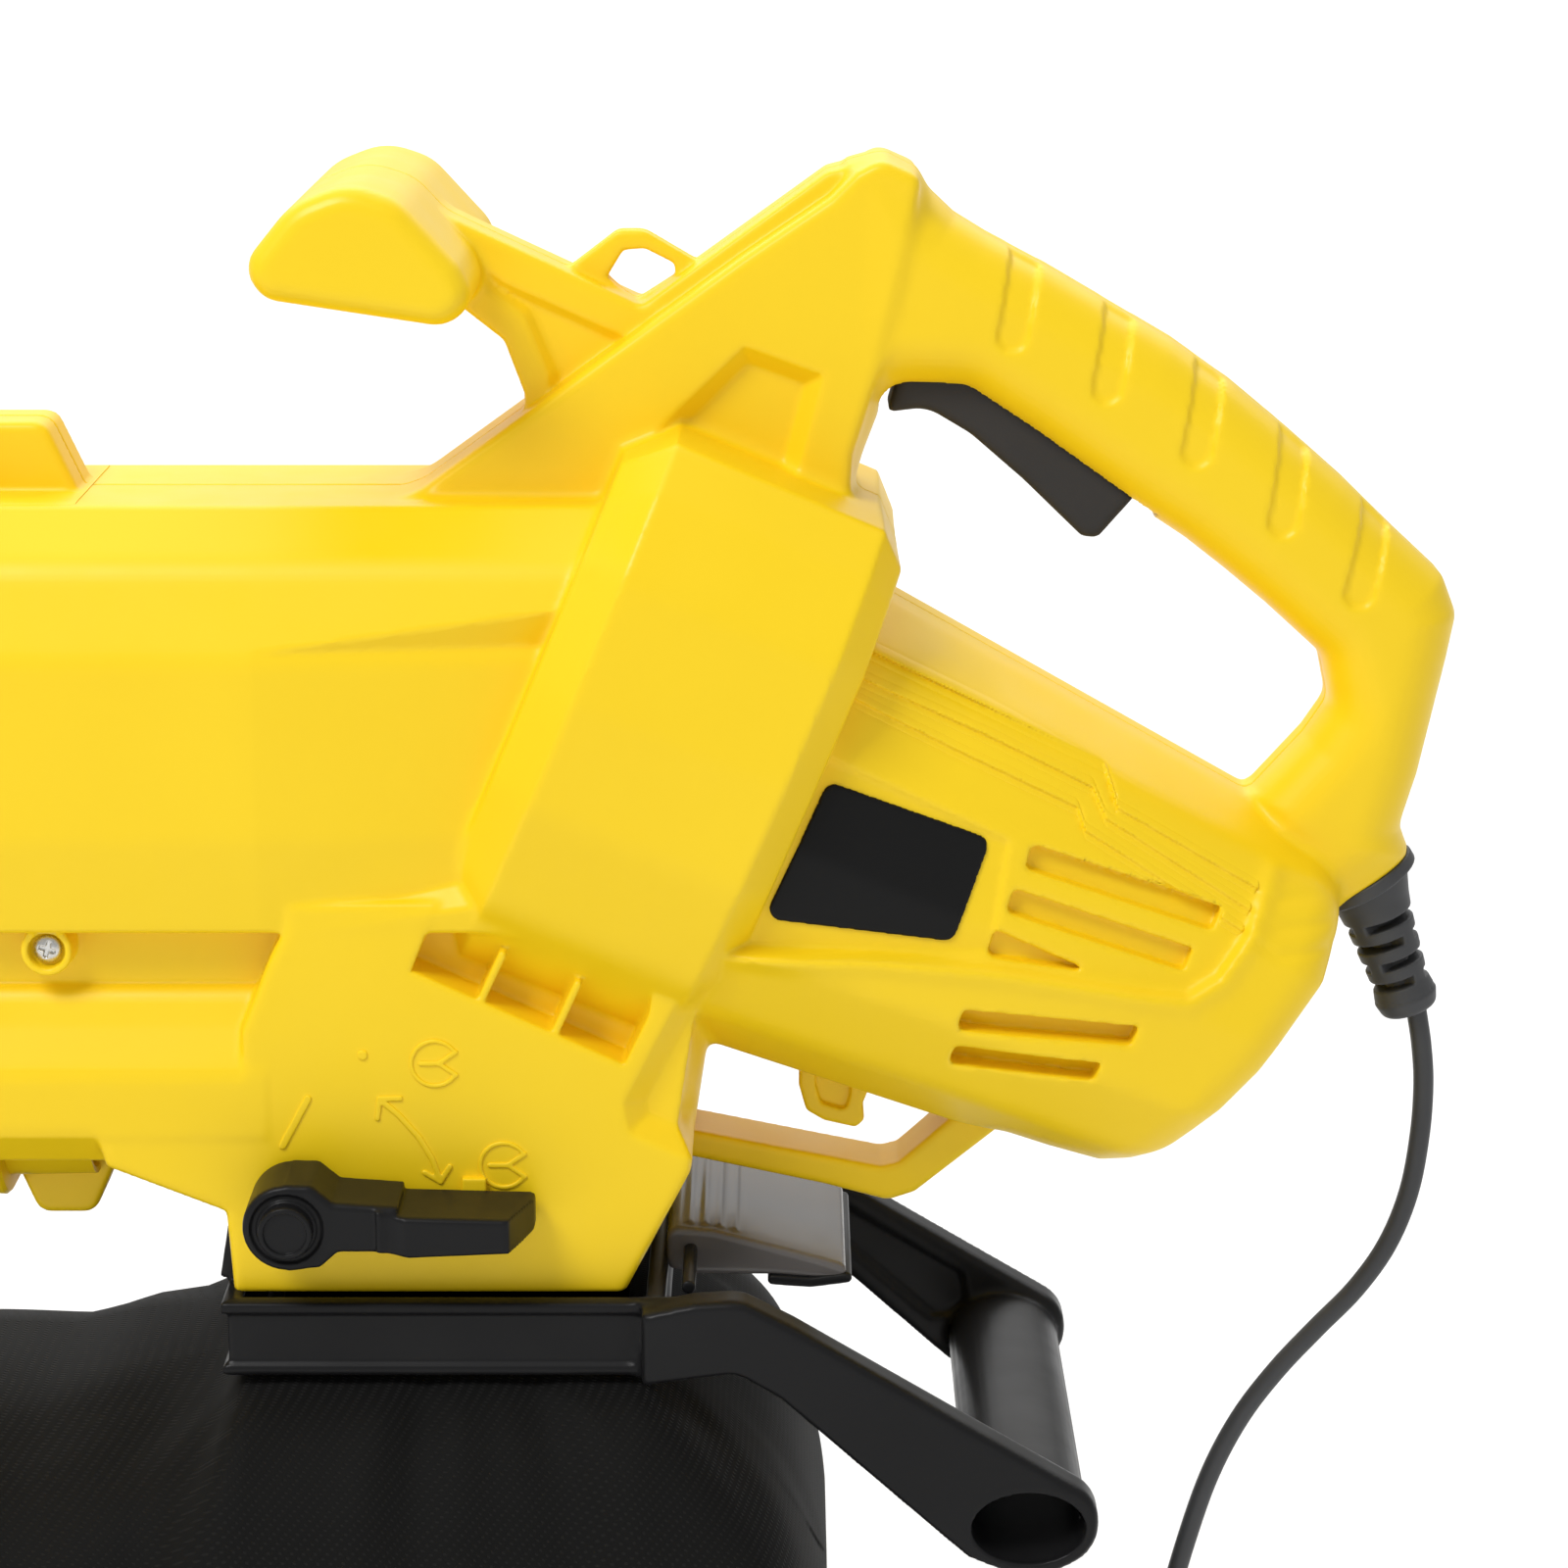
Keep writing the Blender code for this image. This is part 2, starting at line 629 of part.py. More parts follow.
def make_rotor():
    ring("motor_shaft", 0.6, 4.0, 3, 212, "steel", 16)
    ring("armature", 4.3, 24.5, 112, 158, "laminated_steel", 24)
    ring("commutator", 4.3, 13, 166, 184, "copper", 24)
    ring("cooling_fan", 4.3, 36, 97, 103, "nylon_black", 24)
    ring("impeller_nut", 5.0, 9, 4, 9.5, "steel", 6)
    make_impeller()


def make_motor_frame():
    """Stator, end brackets, bearings and brush gear held inside the barrel."""
    ring("motor_stator", 25.5, 44, 112, 158, "laminated_steel", 32)
    ring("motor_bracket", 11.6, 63.5, 84, 91, "nylon_black", 32)
    ring("front_bearing", 4.4, 11.2, 84, 92, "steel", 16)
    ring("rear_bracket", 11.6, 44, 196, 203, "nylon_black", 24)
    ring("rear_bearing", 4.4, 11.2, 196, 204, "steel", 16)
    for side_name, side in SIDES:
        holder = box_mesh("holder", (-6, 15, 169), (6, 36, 181))
        obj = add_object("brush_holder_" + side_name, holder, "brass", MOTOR_MATRIX[side])
        smooth(obj)


make_rotor()
make_motor_frame()


# ---------------------------------------------------------------- trigger and switch

def make_trigger():
    outline = rounded([(129.5, 566.5, 2), (140, 567, 6), (153, 562, 8), (173, 545, 8),
                       (186.5, 529.5, 3), (191.5, 529.5, 3), (198.5, 541.5, 4), (160, 576, 6),
                       (142, 585.5, 3), (131.5, 583, 3)])
    bore = circle(TRIGGER_PIVOT, PIVOT_PIN_RADIUS + GAP, 12)
    plate("trigger", [outline, bore], -TRIGGER_HALF, TRIGGER_HALF, "trigger_grey")


def make_trigger_parts():
    inside = HANDLE_HALF - WALL - GAP
    plate("trigger_pin", [circle(TRIGGER_PIVOT, PIVOT_PIN_RADIUS, 12)], -inside, inside, "steel")
    tilt = Matrix.Rotation(radians(32), 4, "Y")
    switch = box_mesh("switch", (-16, -10, -8), (16, 10, 8))
    place = Matrix.Translation(Vector((182, 0, 583)) * MM)
    add_object("switch_block", switch, "nylon_black", place @ tilt)


make_trigger()
make_trigger_parts()


# ---------------------------------------------------------------- selector flap

def make_selector():
    x, z = SELECTOR_PIVOT
    hub = 11.5
    grip = rounded([(x - hub, z - hub, 9), (x + hub, z - hub, 5), (x + 17, z - 6.5, 0),
                    (x + 33, z - 8, 0),
                    (x + 67, z - 6, 3), (x + 67, z + 2.5, 2), (x + 33, z + 5, 0), (x + 17, z + 5, 0),
                    (x + hub, z + hub, 5), (x - hub, z + hub, 9)])
    bore = circle(SELECTOR_PIVOT, SELECTOR_SHAFT_RADIUS + GAP)
    plate("selector_lever", [grip, bore], -86, -62, "frame_black")
    shaft = circle(SELECTOR_PIVOT, SELECTOR_SHAFT_RADIUS)
    plate("selector_shaft", [shaft], -87, CHUTE_HALF - WALL - 1, "nylon_black")
    plate("lever_cap", [circle(SELECTOR_PIVOT, 7.5)], -90, -87 - GAP, "frame_black")
    flap = [(x + SELECTOR_SHAFT_RADIUS + GAP, z - 1.3), (x + FLAP_LENGTH, z - 1.3),
            (x + FLAP_LENGTH, z + 1.3), (x + SELECTOR_SHAFT_RADIUS + GAP, z + 1.3)]
    reach = CHUTE_HALF - WALL - 1.5
    plate("airflow_flap", [flap], -reach, reach, "nylon_black")


make_selector()


# ---------------------------------------------------------------- collection bag and frame

def make_bag_frame():
    """Collar that hooks under the chute, with two arms and a carrying tube behind."""
    front, back, half, wall = COLLAR_FRONT_X - 3, COLLAR_BACK_X, COLLAR_HALF, 4.0
    stations = []
    for z, grow in ((COLLAR_LIP, 0), (COLLAR_TOP, 0), (COLLAR_TOP, -wall), (COLLAR_LIP, -wall)):
        low, high, side = front - grow, back + grow, half + grow
        stations.append([(low, -side, z), (high, -side, z), (high, side, z), (low, side, z)])
    obj = loft_tube("bag_frame", stations, "frame_black")
    arm = rounded([(57, COLLAR_LIP + 0.7, 0), (86.5, 303.5, 0), (99, 296, 0), (143, 256, 0),
                   (153, 247, 0), (172, 241, 14), (189.5, 250, 12), (189, 264, 10), (160, 282, 0),
                   (103, 317, 0), (86, 326, 12), (70, 329.5, 4), (57, 329.5, 0)])
    for side in (LEFT, RIGHT):
        near = side * (half - 1)
        far = side * (half - 1 + ARM_THICKNESS)
        join(obj, plate_mesh("arm", [arm], min(near, far), max(near, far)))
    bar = plate_mesh("bar", [circle(CARRY_TUBE, CARRY_TUBE_RADIUS, 20)], -half - 5, half + 5)
    join(obj, bar)
    bore = plate_mesh("bore", [circle(CARRY_TUBE, CARRY_TUBE_RADIUS - 3, 20)], -half - 20, half + 20)
    cut(obj, bore)


def make_bag():
    """Full collection bag standing on its flat bottom, open at the top into the collar."""
    mouth = 58
    plan = ((-398, 62, 28, 225), (-388, 86, 0, 262), (-350, 104, 0, 284), (-250, 112, 0, 291),
            (-130, 114, 0, 291), (-54, 112, 0, 298.9), (43, 110, 0, 298.9), (78, 106, 0, 281),
            (104, 98, 0, 256), (114, 80, 22, 230))
    bm = bmesh.new()
    rings = []
    for x, half, low, top in plan:
        tall = top - low
        right = [(half - 34, low), (half - 10, low + 9), (half, low + 34), (half, low + tall * 0.74),
                 (half - 12, low + tall * 0.92), (half - 36, top - 3), (min(mouth, half - 44), top)]
        loop = [(y, z) for y, z in right] + [(-y, z) for y, z in reversed(right)]
        rings.append([bm.verts.new((x, y, z)) for y, z in loop])
    count = len(rings[0])
    top_edge = 6
    for first, second in zip(rings, rings[1:]):
        for k in range(count):
            opening = k == top_edge and abs(first[0].co.x + 54) < 1
            if not opening:
                after = (k + 1) % count
                bm.faces.new((first[k], second[k], second[after], first[after]))
    bm.faces.new(rings[0])
    bm.faces.new(rings[-1])
    bmesh.ops.recalc_face_normals(bm, faces=bm.faces)
    bottom = min(bm.faces, key=lambda item: item.calc_center_median().z)
    if bottom.normal.z > 0:
        bmesh.ops.reverse_faces(bm, faces=bm.faces)
    obj = add_object("collection_bag", finish_mesh(bm, "collection_bag"), "bag_cloth")
    shell = obj.modifiers.new("cloth", "SOLIDIFY")
    shell.thickness = CLOTH_THICKNESS * MM
    shell.offset = -1
    shell.use_even_offset = True


def make_latch():
    x, z = LATCH_PIVOT
    outline = rounded([(x - 5, z - 5, 2), (x + 20, z - 9, 0), (x + 46, z - 10, 1), (x + 46, z - 6.5, 1),
                       (x + 20, z - 4.5, 0), (x + 5, z + 5, 2), (x - 5, z + 5, 2)])
    bore = circle(LATCH_PIVOT, PIVOT_PIN_RADIUS + GAP, 10)
    plate("bag_latch", [outline, bore], -LATCH_HALF, LATCH_HALF, "frame_black")
    pin = circle(LATCH_PIVOT, PIVOT_PIN_RADIUS, 10)
    plate("latch_pin", [pin], -COLLAR_HALF + 2, COLLAR_HALF - 2, "steel")


make_bag_frame()
make_bag()
make_latch()


# ---------------------------------------------------------------- cord

# Route of the cord's middle line from the strain relief down to the floor, then along it.
CORD_ROUTE = (
    (287.3, 0, 386.4), (289.2, 0, 375.5), (290.3, 0, 363), (289.8, 0, 347), (287.2, 0, 329),
    (281.4, 0, 312.5), (272.6, 1, 298), (261.5, 2, 285), (250, 3, 271), (239.5, 5, 254.5),
    (231, 7, 235), (224.5, 9, 212), (219, 12, 186), (214.5, 15, 158), (210.5, 18, 130),
    (207, 22, 102), (204, 27, 74), (202.5, 34, 48), (203, 44, 26), (206, 60, 10),
    (207, 80, 3.6), (200, 99, 3.3), (184, 113, 3.3), (163, 121, 3.3), (141, 123, 3.3),
)
PLUG_LENGTH = 45.0
PLUG_HALF = 14.0
PLUG_HEIGHT = 22.0
PIN_RADIUS = 2.3
PIN_LENGTH = 17.0

def smooth_route(route, spacing):
    """Points at an even spacing along a Catmull-Rom curve through the route."""
    points = [Vector(place) for place in route]
    ends = [points[0] * 2 - points[1]] + points + [points[-1] * 2 - points[-2]]
    fine = []
    for a, b, c, d in zip(ends, ends[1:], ends[2:], ends[3:]):
        for step in range(12):
            t = step / 12
            fine.append(0.5 * (2 * b + (c - a) * t + (2 * a - 5 * b + 4 * c - d) * t * t
                               + (3 * b - a - 3 * c + d) * t * t * t))
    fine.append(points[-1])
    kept = [fine[0]]
    for place in fine[1:-1]:
        if (place - kept[-1]).length >= spacing:
            kept.append(place)
    if (kept[-1] - fine[-1]).length < spacing / 2:
        kept.pop()
    return kept + [fine[-1]]


def make_strain_relief():
    """Flanged sleeve, wide at the grip and slim where the cord leaves it."""
    direction = (RELIEF_TIP[0] - RELIEF_TOP[0], RELIEF_TIP[1] - RELIEF_TOP[1])
    length = hypot(*direction)
    profile = [(11.5, 3.2), (11.5, 8), (7, 8.5), (5.2, length - 2), (4.6, length), (1.6, length),
               (1.6, 3.2)]
    turned("strain_relief", profile[::-1], "cord_rubber", axis_matrix(RELIEF_TOP, direction), 16)


def make_cord():
    route = smooth_route(CORD_ROUTE, CORD_DIAMETER * 2)
    add_object("power_cord", rod_mesh("power_cord", route, CORD_DIAMETER / 2), "cord_rubber")
    end_x, end_y = CORD_ROUTE[-1][:2]
    back = end_x - PLUG_LENGTH
    body = box_mesh("plug", (back, end_y - PLUG_HALF, GAP),
                    (end_x - 0.5, end_y + PLUG_HALF, PLUG_HEIGHT))
    plug = add_object("plug", body, "cord_rubber")
    middle = PLUG_HEIGHT / 2
    for offset in (-PLUG_HALF / 2, PLUG_HALF / 2):
        pin = [(back - PIN_LENGTH, end_y + offset, middle), (back + 5, end_y + offset, middle)]
        join(plug, rod_mesh("pin", pin, PIN_RADIUS))


make_strain_relief()
make_cord()


# ---------------------------------------------------------------- screws

HEAD_RADIUS = 3.8
SCREW_PLACES = (
    ("casing_screw_1", (100, 618), HANDLE_HALF), ("casing_screw_2", (222, 548), HANDLE_HALF),
    ("casing_screw_3", (272, 470), HANDLE_HALF), ("casing_screw_4", (61, 353), CHUTE_HALF),
    ("casing_screw_5", (-32, 408), CHUTE_HALF), ("casing_screw_6", (40, 572), HANDLE_HALF),
)


def make_screw(name, place, half_width):
    """Pan head screw driven in from the right, its head sunk in the right shell's wall."""
    wall_face = half_width - WALL
    obj = plate(name, [circle(place, HEAD_RADIUS, 14)], wall_face, half_width + 0.8, "steel")
    join(obj, plate_mesh("shank", [circle(place, 1.8, 10)], 6 - wall_face, wall_face + 1))
    owner = "chute_shell_right" if half_width == CHUTE_HALF else "handle_shell_right"
    hole = plate_mesh("hole", [circle(place, HEAD_RADIUS + GAP, 14)], wall_face - 1, half_width + 2)
    cut(bpy.data.objects[owner], hole)


for screw_name, screw_place, screw_half in SCREW_PLACES:
    make_screw(screw_name, screw_place, screw_half)
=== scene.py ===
from functools import reduce
from math import atan2, cos, pi, radians, sin, tan

import bmesh
import bpy
import json
import numpy as np
from numpy import clip, hypot, interp, where
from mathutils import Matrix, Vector

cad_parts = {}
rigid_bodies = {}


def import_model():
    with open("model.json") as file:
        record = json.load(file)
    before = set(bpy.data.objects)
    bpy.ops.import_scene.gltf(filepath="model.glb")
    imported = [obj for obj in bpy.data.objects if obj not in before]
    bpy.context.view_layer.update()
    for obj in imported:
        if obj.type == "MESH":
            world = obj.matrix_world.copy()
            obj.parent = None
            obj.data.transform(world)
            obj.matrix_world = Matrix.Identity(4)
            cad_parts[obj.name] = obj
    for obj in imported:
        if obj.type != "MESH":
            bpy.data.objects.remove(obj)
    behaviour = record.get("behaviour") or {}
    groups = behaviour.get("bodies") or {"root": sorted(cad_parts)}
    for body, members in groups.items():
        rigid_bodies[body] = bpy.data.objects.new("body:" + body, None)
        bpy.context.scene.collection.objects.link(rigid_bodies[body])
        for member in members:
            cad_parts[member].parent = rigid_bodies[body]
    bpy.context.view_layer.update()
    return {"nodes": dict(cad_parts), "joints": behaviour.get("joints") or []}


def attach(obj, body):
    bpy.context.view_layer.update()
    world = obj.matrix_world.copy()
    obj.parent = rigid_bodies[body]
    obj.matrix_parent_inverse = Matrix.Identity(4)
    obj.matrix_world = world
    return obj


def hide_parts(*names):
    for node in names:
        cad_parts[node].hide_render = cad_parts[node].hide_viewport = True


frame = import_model()
scene = bpy.context.scene

# Outlines are in millimetres in the tool's own frame: X runs back from the bag collar's
# middle, Y to the operator's right, Z up from the floor. SHIFT_X moves them into the frame.
MM = 0.001
_trigger = [joint for joint in frame["joints"] if joint["name"] == "trigger_pivot"][0]
SHIFT_X = _trigger["pos_m"][0] / MM - 137.5
MOTOR_TILT = radians(23)
MOTOR_COS = cos(MOTOR_TILT)
MOTOR_SIN = sin(MOTOR_TILT)
DRUM_FRONT = (24, 484)


def place(x, y, z):
    """Point in the frame, in metres, of a place in the tool's own millimetres."""
    return Vector(((x + SHIFT_X) * MM, y * MM, z * MM))


def add_object(name, data):
    made = bpy.data.objects.new(name, data)
    scene.collection.objects.link(made)
    return made


# -------- materials

def material(name, colour, roughness, sheen=0, metallic=0, specular=0.5):
    made = bpy.data.materials.new(name)
    made.use_nodes = True
    shader = made.node_tree.nodes["Principled BSDF"]
    for socket, value in {"Base Color": (*colour, 1), "Roughness": roughness, "Metallic": metallic,
                          "Sheen Weight": sheen, "Specular IOR Level": specular}.items():
        shader.inputs[socket].default_value = value
    return made


class Nodes:
    """Short calls that add and link nodes in a material's tree."""

    def __init__(self, made):
        self.tree = made.node_tree
        self.shader = self.tree.nodes["Principled BSDF"]

    def add(self, kind, **settings):
        node = self.tree.nodes.new("ShaderNode" + kind)
        for key, value in settings.items():
            if hasattr(node, key):
                setattr(node, key, value)
            else:
                node.inputs[key].default_value = value
        return node

    def link(self, source, target):
        self.tree.links.new(source, target)

    def coordinates(self):
        return self.add("TexCoord").outputs["Object"]

    def noise(self, scale, detail=2, roughness=0.5):
        node = self.add("TexNoise", Scale=scale, Detail=detail, Roughness=roughness)
        self.link(self.coordinates(), node.inputs["Vector"])
        return node.outputs["Fac"]

    def remap(self, source, low, high, to_low, to_high):
        node = self.add("MapRange", **{"From Min": low, "From Max": high,
                                       "To Min": to_low, "To Max": to_high})
        self.link(source, node.inputs["Value"])
        return node.outputs["Result"]

    def mix_colour(self, factor, first, second):
        node = self.add("Mix", data_type="RGBA")
        self.link(factor, node.inputs["Factor"])
        node.inputs["A"].default_value = (*first, 1)
        node.inputs["B"].default_value = (*second, 1)
        return node.outputs["Result"]

    def maths(self, operation, *sources):
        node = self.add("Math", operation=operation)
        for socket, source in zip(node.inputs, sources):
            if isinstance(source, float):
                socket.default_value = source
            else:
                self.link(source, socket)
        return node.outputs[0]

    def bump(self, height, strength, distance):
        node = self.add("Bump", Strength=strength, Distance=distance)
        self.link(height, node.inputs["Height"])
        self.link(node.outputs["Normal"], self.shader.inputs["Normal"])


def moulded_plastic(name, colour, deeper, roughness, grain=2600, grain_depth=0.00002,
                    specular=0.14):
    """Moulded plastic: faint colour drift, slightly uneven gloss and a very fine grain."""
    made = material(name, colour, roughness, specular=specular)
    nodes = Nodes(made)
    drift = nodes.remap(nodes.noise(9, 3), 0.3, 0.7, 0, 1)
    nodes.link(nodes.mix_colour(drift, colour, deeper), nodes.shader.inputs["Base Color"])
    gloss = nodes.remap(nodes.noise(55, 4), 0.25, 0.75, roughness - 0.05, roughness + 0.06)
    nodes.link(gloss, nodes.shader.inputs["Roughness"])
    nodes.bump(nodes.noise(grain, 2), 0.25, grain_depth)
    return made


YELLOW = moulded_plastic("yellow_plastic", (0.93, 0.64, 0.008), (0.9, 0.61, 0.006), 0.4,
                         specular=0.32)
BLACK = moulded_plastic("black_plastic", (0.0085, 0.0085, 0.009), (0.012, 0.012, 0.0125), 0.34)


# -------- camera, light and floor

CAMERA_PLACE = place(100.2, -1141.6, 754)
CAMERA_PITCH = radians(14.655)
CAMERA_LENS = 92.925
FLOOR_LEVEL = -0.0002  # just under the object's feet


def make_camera():
    data = bpy.data.cameras.new("camera")
    data.lens = CAMERA_LENS
    data.sensor_width = 36
    data.clip_start = 0.05
    camera = add_object("camera", data)
    camera.location = CAMERA_PLACE
    camera.rotation_euler = (pi / 2 - CAMERA_PITCH, 0, 0)
    scene.camera = camera


def area_light(name, spot, target, size, power):
    data = bpy.data.lights.new(name, "AREA")
    data.shape = "RECTANGLE"
    data.size, data.size_y = size
    data.energy = power
    lamp = add_object(name, data)
    lamp.location = spot
    lamp.rotation_euler = (Vector(target) - Vector(spot)).to_track_quat("-Z", "Y").to_euler()


def make_stage():
    """Pale floor with a pale world around it and soft boxes above, in front and behind."""
    bm = bmesh.new()
    bmesh.ops.create_grid(bm, x_segments=1, y_segments=1, size=80)
    mesh = bpy.data.meshes.new("floor")
    bm.to_mesh(mesh)
    bm.free()
    floor = add_object("floor", mesh)
    floor.location.z = FLOOR_LEVEL
    mesh.materials.append(material("floor_white", (0.93, 0.93, 0.93), 0.9, specular=0.1))
    world = bpy.data.worlds.new("studio")
    scene.world = world
    world.use_nodes = True
    background = world.node_tree.nodes["Background"].inputs
    background["Color"].default_value = (1, 1, 1, 1)
    background["Strength"].default_value = 0.55
    centre = place(80, 0, 420)
    area_light("key", (-0.7, -1.2, 2.2), centre, (0.9, 0.7), 30)
    area_light("top", (0.3, 0.4, 2.3), centre, (1.6, 1.6), 6)
    area_light("back", (0.3, 3, 1.6), centre, (3, 1.2), 7)
    area_light("fill", (0.1, -2.2, 0.3), centre, (1.8, 0.5), 0.8)
    area_light("backdrop", (0, 7, 6), (0, 7, 0), (16, 9), 720)


scene.view_settings.view_transform = "Standard"
make_camera()
make_stage()


# -------- solid modelling on a grid

FAR = 1e9  # a distance beyond every outline


def arc_corners(corners, steps=5):
    """Outline from (x, z) or (x, z, fillet radius) corners, with arcs at the fillets."""
    points = []
    count = len(corners)
    for index, corner in enumerate(corners):
        here = Vector(corner[:2])
        if len(corner) == 2:
            points.append(tuple(here))
            continue
        before = (Vector(corners[index - 1][:2]) - here).normalized()
        after = (Vector(corners[(index + 1) % count][:2]) - here).normalized()
        half = before.angle(after) / 2
        radius = corner[2]
        centre = here + (before + after).normalized() * (radius / sin(half))
        first = here + before * (radius / tan(half)) - centre
        last = here + after * (radius / tan(half)) - centre
        start = atan2(first.y, first.x)
        turn = (atan2(last.y, last.x) - start + pi) % (2 * pi) - pi
        for step in range(steps + 1):
            angle = start + turn * step / steps
            points.append((centre.x + radius * cos(angle), centre.y + radius * sin(angle)))
    return points


def to_outline(corners, u, v):
    """Signed distance from points (u, v) to a closed outline, negative inside."""
    points = arc_corners(corners)
    u, v = np.broadcast_arrays(u, v)
    nearest = np.full(u.shape, FAR, np.float32)
    inside = np.zeros(u.shape, bool)
    for (ax, az), (bx, bz) in zip(points, points[1:] + points[:1]):
        ex, ez = bx - ax, bz - az
        length = ex * ex + ez * ez
        if length < 1e-9:
            continue
        along = clip(((u - ax) * ex + (v - az) * ez) / length, 0, 1)
        gap = (u - ax - ex * along) ** 2 + (v - az - ez * along) ** 2
        nearest = least(nearest, gap)
        if ez != 0:
            crossing = (az > v) != (bz > v)
            inside ^= crossing & (u < ax + (v - az) * ex / ez)
    distance = np.sqrt(nearest)
    return where(inside, -distance, distance).astype(np.float32)


def most(*fields):
    return reduce(np.maximum, fields)


def least(*fields):
    return reduce(np.minimum, fields)


def union(a, b, blend=0):
    """Smaller of two fields, with a fillet of about the blend's size."""
    if blend <= 0:
        return least(a, b)
    near = most(blend - abs(a - b), 0) / blend
    return least(a, b) - near * near * blend * 0.25


def minus(a, b, blend=0):
    return -union(-a, b, blend)


def slab(outline_field, depth_field, edge):
    """Extrusion whose rim has a rounded edge: both inputs are distances, edge a radius."""
    a = outline_field + edge
    b = depth_field + edge
    outside = np.sqrt(most(a, 0) ** 2 + most(b, 0) ** 2)
    return least(most(a, b), 0) + outside - edge


def ramp(values, low, high):
    t = clip((values - low) / (high - low), 0, 1)
    return t * t * (3 - 2 * t)


class Grid:
    """Regular grid of sample points; x, y and z broadcast against each other."""

    def __init__(self, low, high, step):
        self.low = np.array(low, np.float32)
        self.step = step
        counts = [int(np.ceil((h - l) / step)) + 1 for l, h in zip(low, high)]
        axes = [l + step * np.arange(n, dtype=np.float32) for l, n in zip(low, counts)]
        self.x = axes[0][:, None, None]
        self.y = axes[1][None, :, None]
        self.z = axes[2][None, None, :]
        self.shape = tuple(counts)


def sample(field, points):
    """Field values between the grid's samples, at points given in grid steps."""
    base = clip(np.floor(points).astype(np.int64), 0, np.array(field.shape) - 2)
    part = (points - base).astype(np.float32)
    i, j, k = base.T
    fx, fy, fz = part.T
    total = 0
    for a, b, c in np.ndindex(2, 2, 2):
        weight = (fx if a else 1 - fx) * (fy if b else 1 - fy) * (fz if c else 1 - fz)
        total = total + weight * field[i + a, j + b, k + c]
    return total


def surface(field, grid):
    """Quad mesh of the field's zero surface: one vertex per crossed cell."""
    inside = field < 0
    shape = np.array(field.shape)
    stride = np.array([shape[1] * shape[2], shape[2], 1])
    cells, spots, flips = [], [], []
    for axis in range(3):
        index = np.argwhere(np.diff(inside, axis=axis))
        others = [a for a in range(3) if a != axis]
        around = index[:, others]
        index = index[((around > 0) & (around < shape[others] - 1)).all(axis=1)]
        after = index.copy()
        after[:, axis] += 1
        f0 = field[tuple(index.T)]
        f1 = field[tuple(after.T)]
        spot = index.astype(np.float32)
        spot[:, axis] += f0 / (f0 - f1)
        base = index @ stride
        u, v = stride[others[0]], stride[others[1]]
        cells.append(np.stack([base - u - v, base - v, base, base - u], axis=1))
        spots.append(spot)
        flips.append((f0 < 0) ^ (axis == 1))
    cells, spots, flips = (np.concatenate(parts) for parts in (cells, spots, flips))
    index = np.unique(cells, return_inverse=True)[1].reshape(-1, 4)
    flat = index.ravel()
    count = np.bincount(flat)
    verts = np.stack([np.bincount(flat, np.repeat(spots[:, a], 4)) / count
                      for a in range(3)], axis=1)
    for _ in range(2):
        value = sample(field, verts)
        slope = np.stack([sample(field, verts + step) - sample(field, verts - step)
                          for step in np.eye(3) * 0.5], axis=1)
        size = most((slope ** 2).sum(axis=1), 0.05)
        move = slope * (value / size)[:, None]
        verts = verts - clip(move, -0.45, 0.45)
    faces = where(flips[:, None], index, index[:, ::-1])
    return verts * grid.step + grid.low, faces


def grid_mesh(name, verts, faces, normals=None):
    """Blender mesh in metres from vertices in the tool's millimetres."""
    mesh = bpy.data.meshes.new(name)
    placed = verts.astype(np.float64)
    placed[:, 0] += SHIFT_X
    placed *= MM
    mesh.vertices.add(len(placed))
    mesh.vertices.foreach_set("co", placed.astype(np.float32).ravel())
    mesh.loops.add(faces.size)
    mesh.loops.foreach_set("vertex_index", faces.ravel().astype(np.int32))
    mesh.polygons.add(len(faces))
    mesh.polygons.foreach_set("loop_start", np.arange(0, faces.size, 4, dtype=np.int32))
    mesh.polygons.foreach_set("loop_total", np.full(len(faces), 4, dtype=np.int32))
    mesh.update(calc_edges=True)
    mesh.shade_smooth()
    if normals is not None:
        mesh.normals_split_custom_set_from_vertices(normals.tolist())
    return mesh


def ring_faces(rows, count, closed=False):
    """Quads between neighbouring rings of count points each."""
    row, k = np.divmod(np.arange((rows if closed else rows - 1) * count), count)
    here, after = row * count, (row + 1) % rows * count
    step = (k + 1) % count
    return np.stack([here + k, here + step, after + step, after + k], axis=1)


def add_piece(name, mesh, made, body, node=None):
    """Visible piece that rides on a body; a skin stands for the CAD node it is named after."""
    piece = add_object(name, mesh)
    mesh.materials.clear()
    mesh.materials.append(made)
    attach(piece, body)
    if name.endswith("_skin"):
        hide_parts(node or name.removesuffix("_skin"))
    return piece


def to_section(corners, u, v, cell=0.5):
    """Distance to an outline for large fields, read from a fine table of the section."""
    low_u, high_u = float(u.min()), float(u.max())
    low_v, high_v = float(v.min()), float(v.max())
    across = np.arange(low_u, high_u + 2 * cell, cell, dtype=np.float32)
    upward = np.arange(low_v, high_v + 2 * cell, cell, dtype=np.float32)
    table = to_outline(corners, across[:, None], upward[None, :])
    u, v = np.broadcast_arrays((u - low_u) / cell, (v - low_v) / cell)
    i = u.astype(np.int32)
    j = v.astype(np.int32)
    fu = u - i
    fv = v - j
    return ((table[i, j] * (1 - fu) + table[i + 1, j] * fu) * (1 - fv)
            + (table[i, j + 1] * (1 - fu) + table[i + 1, j + 1] * fu) * fv)


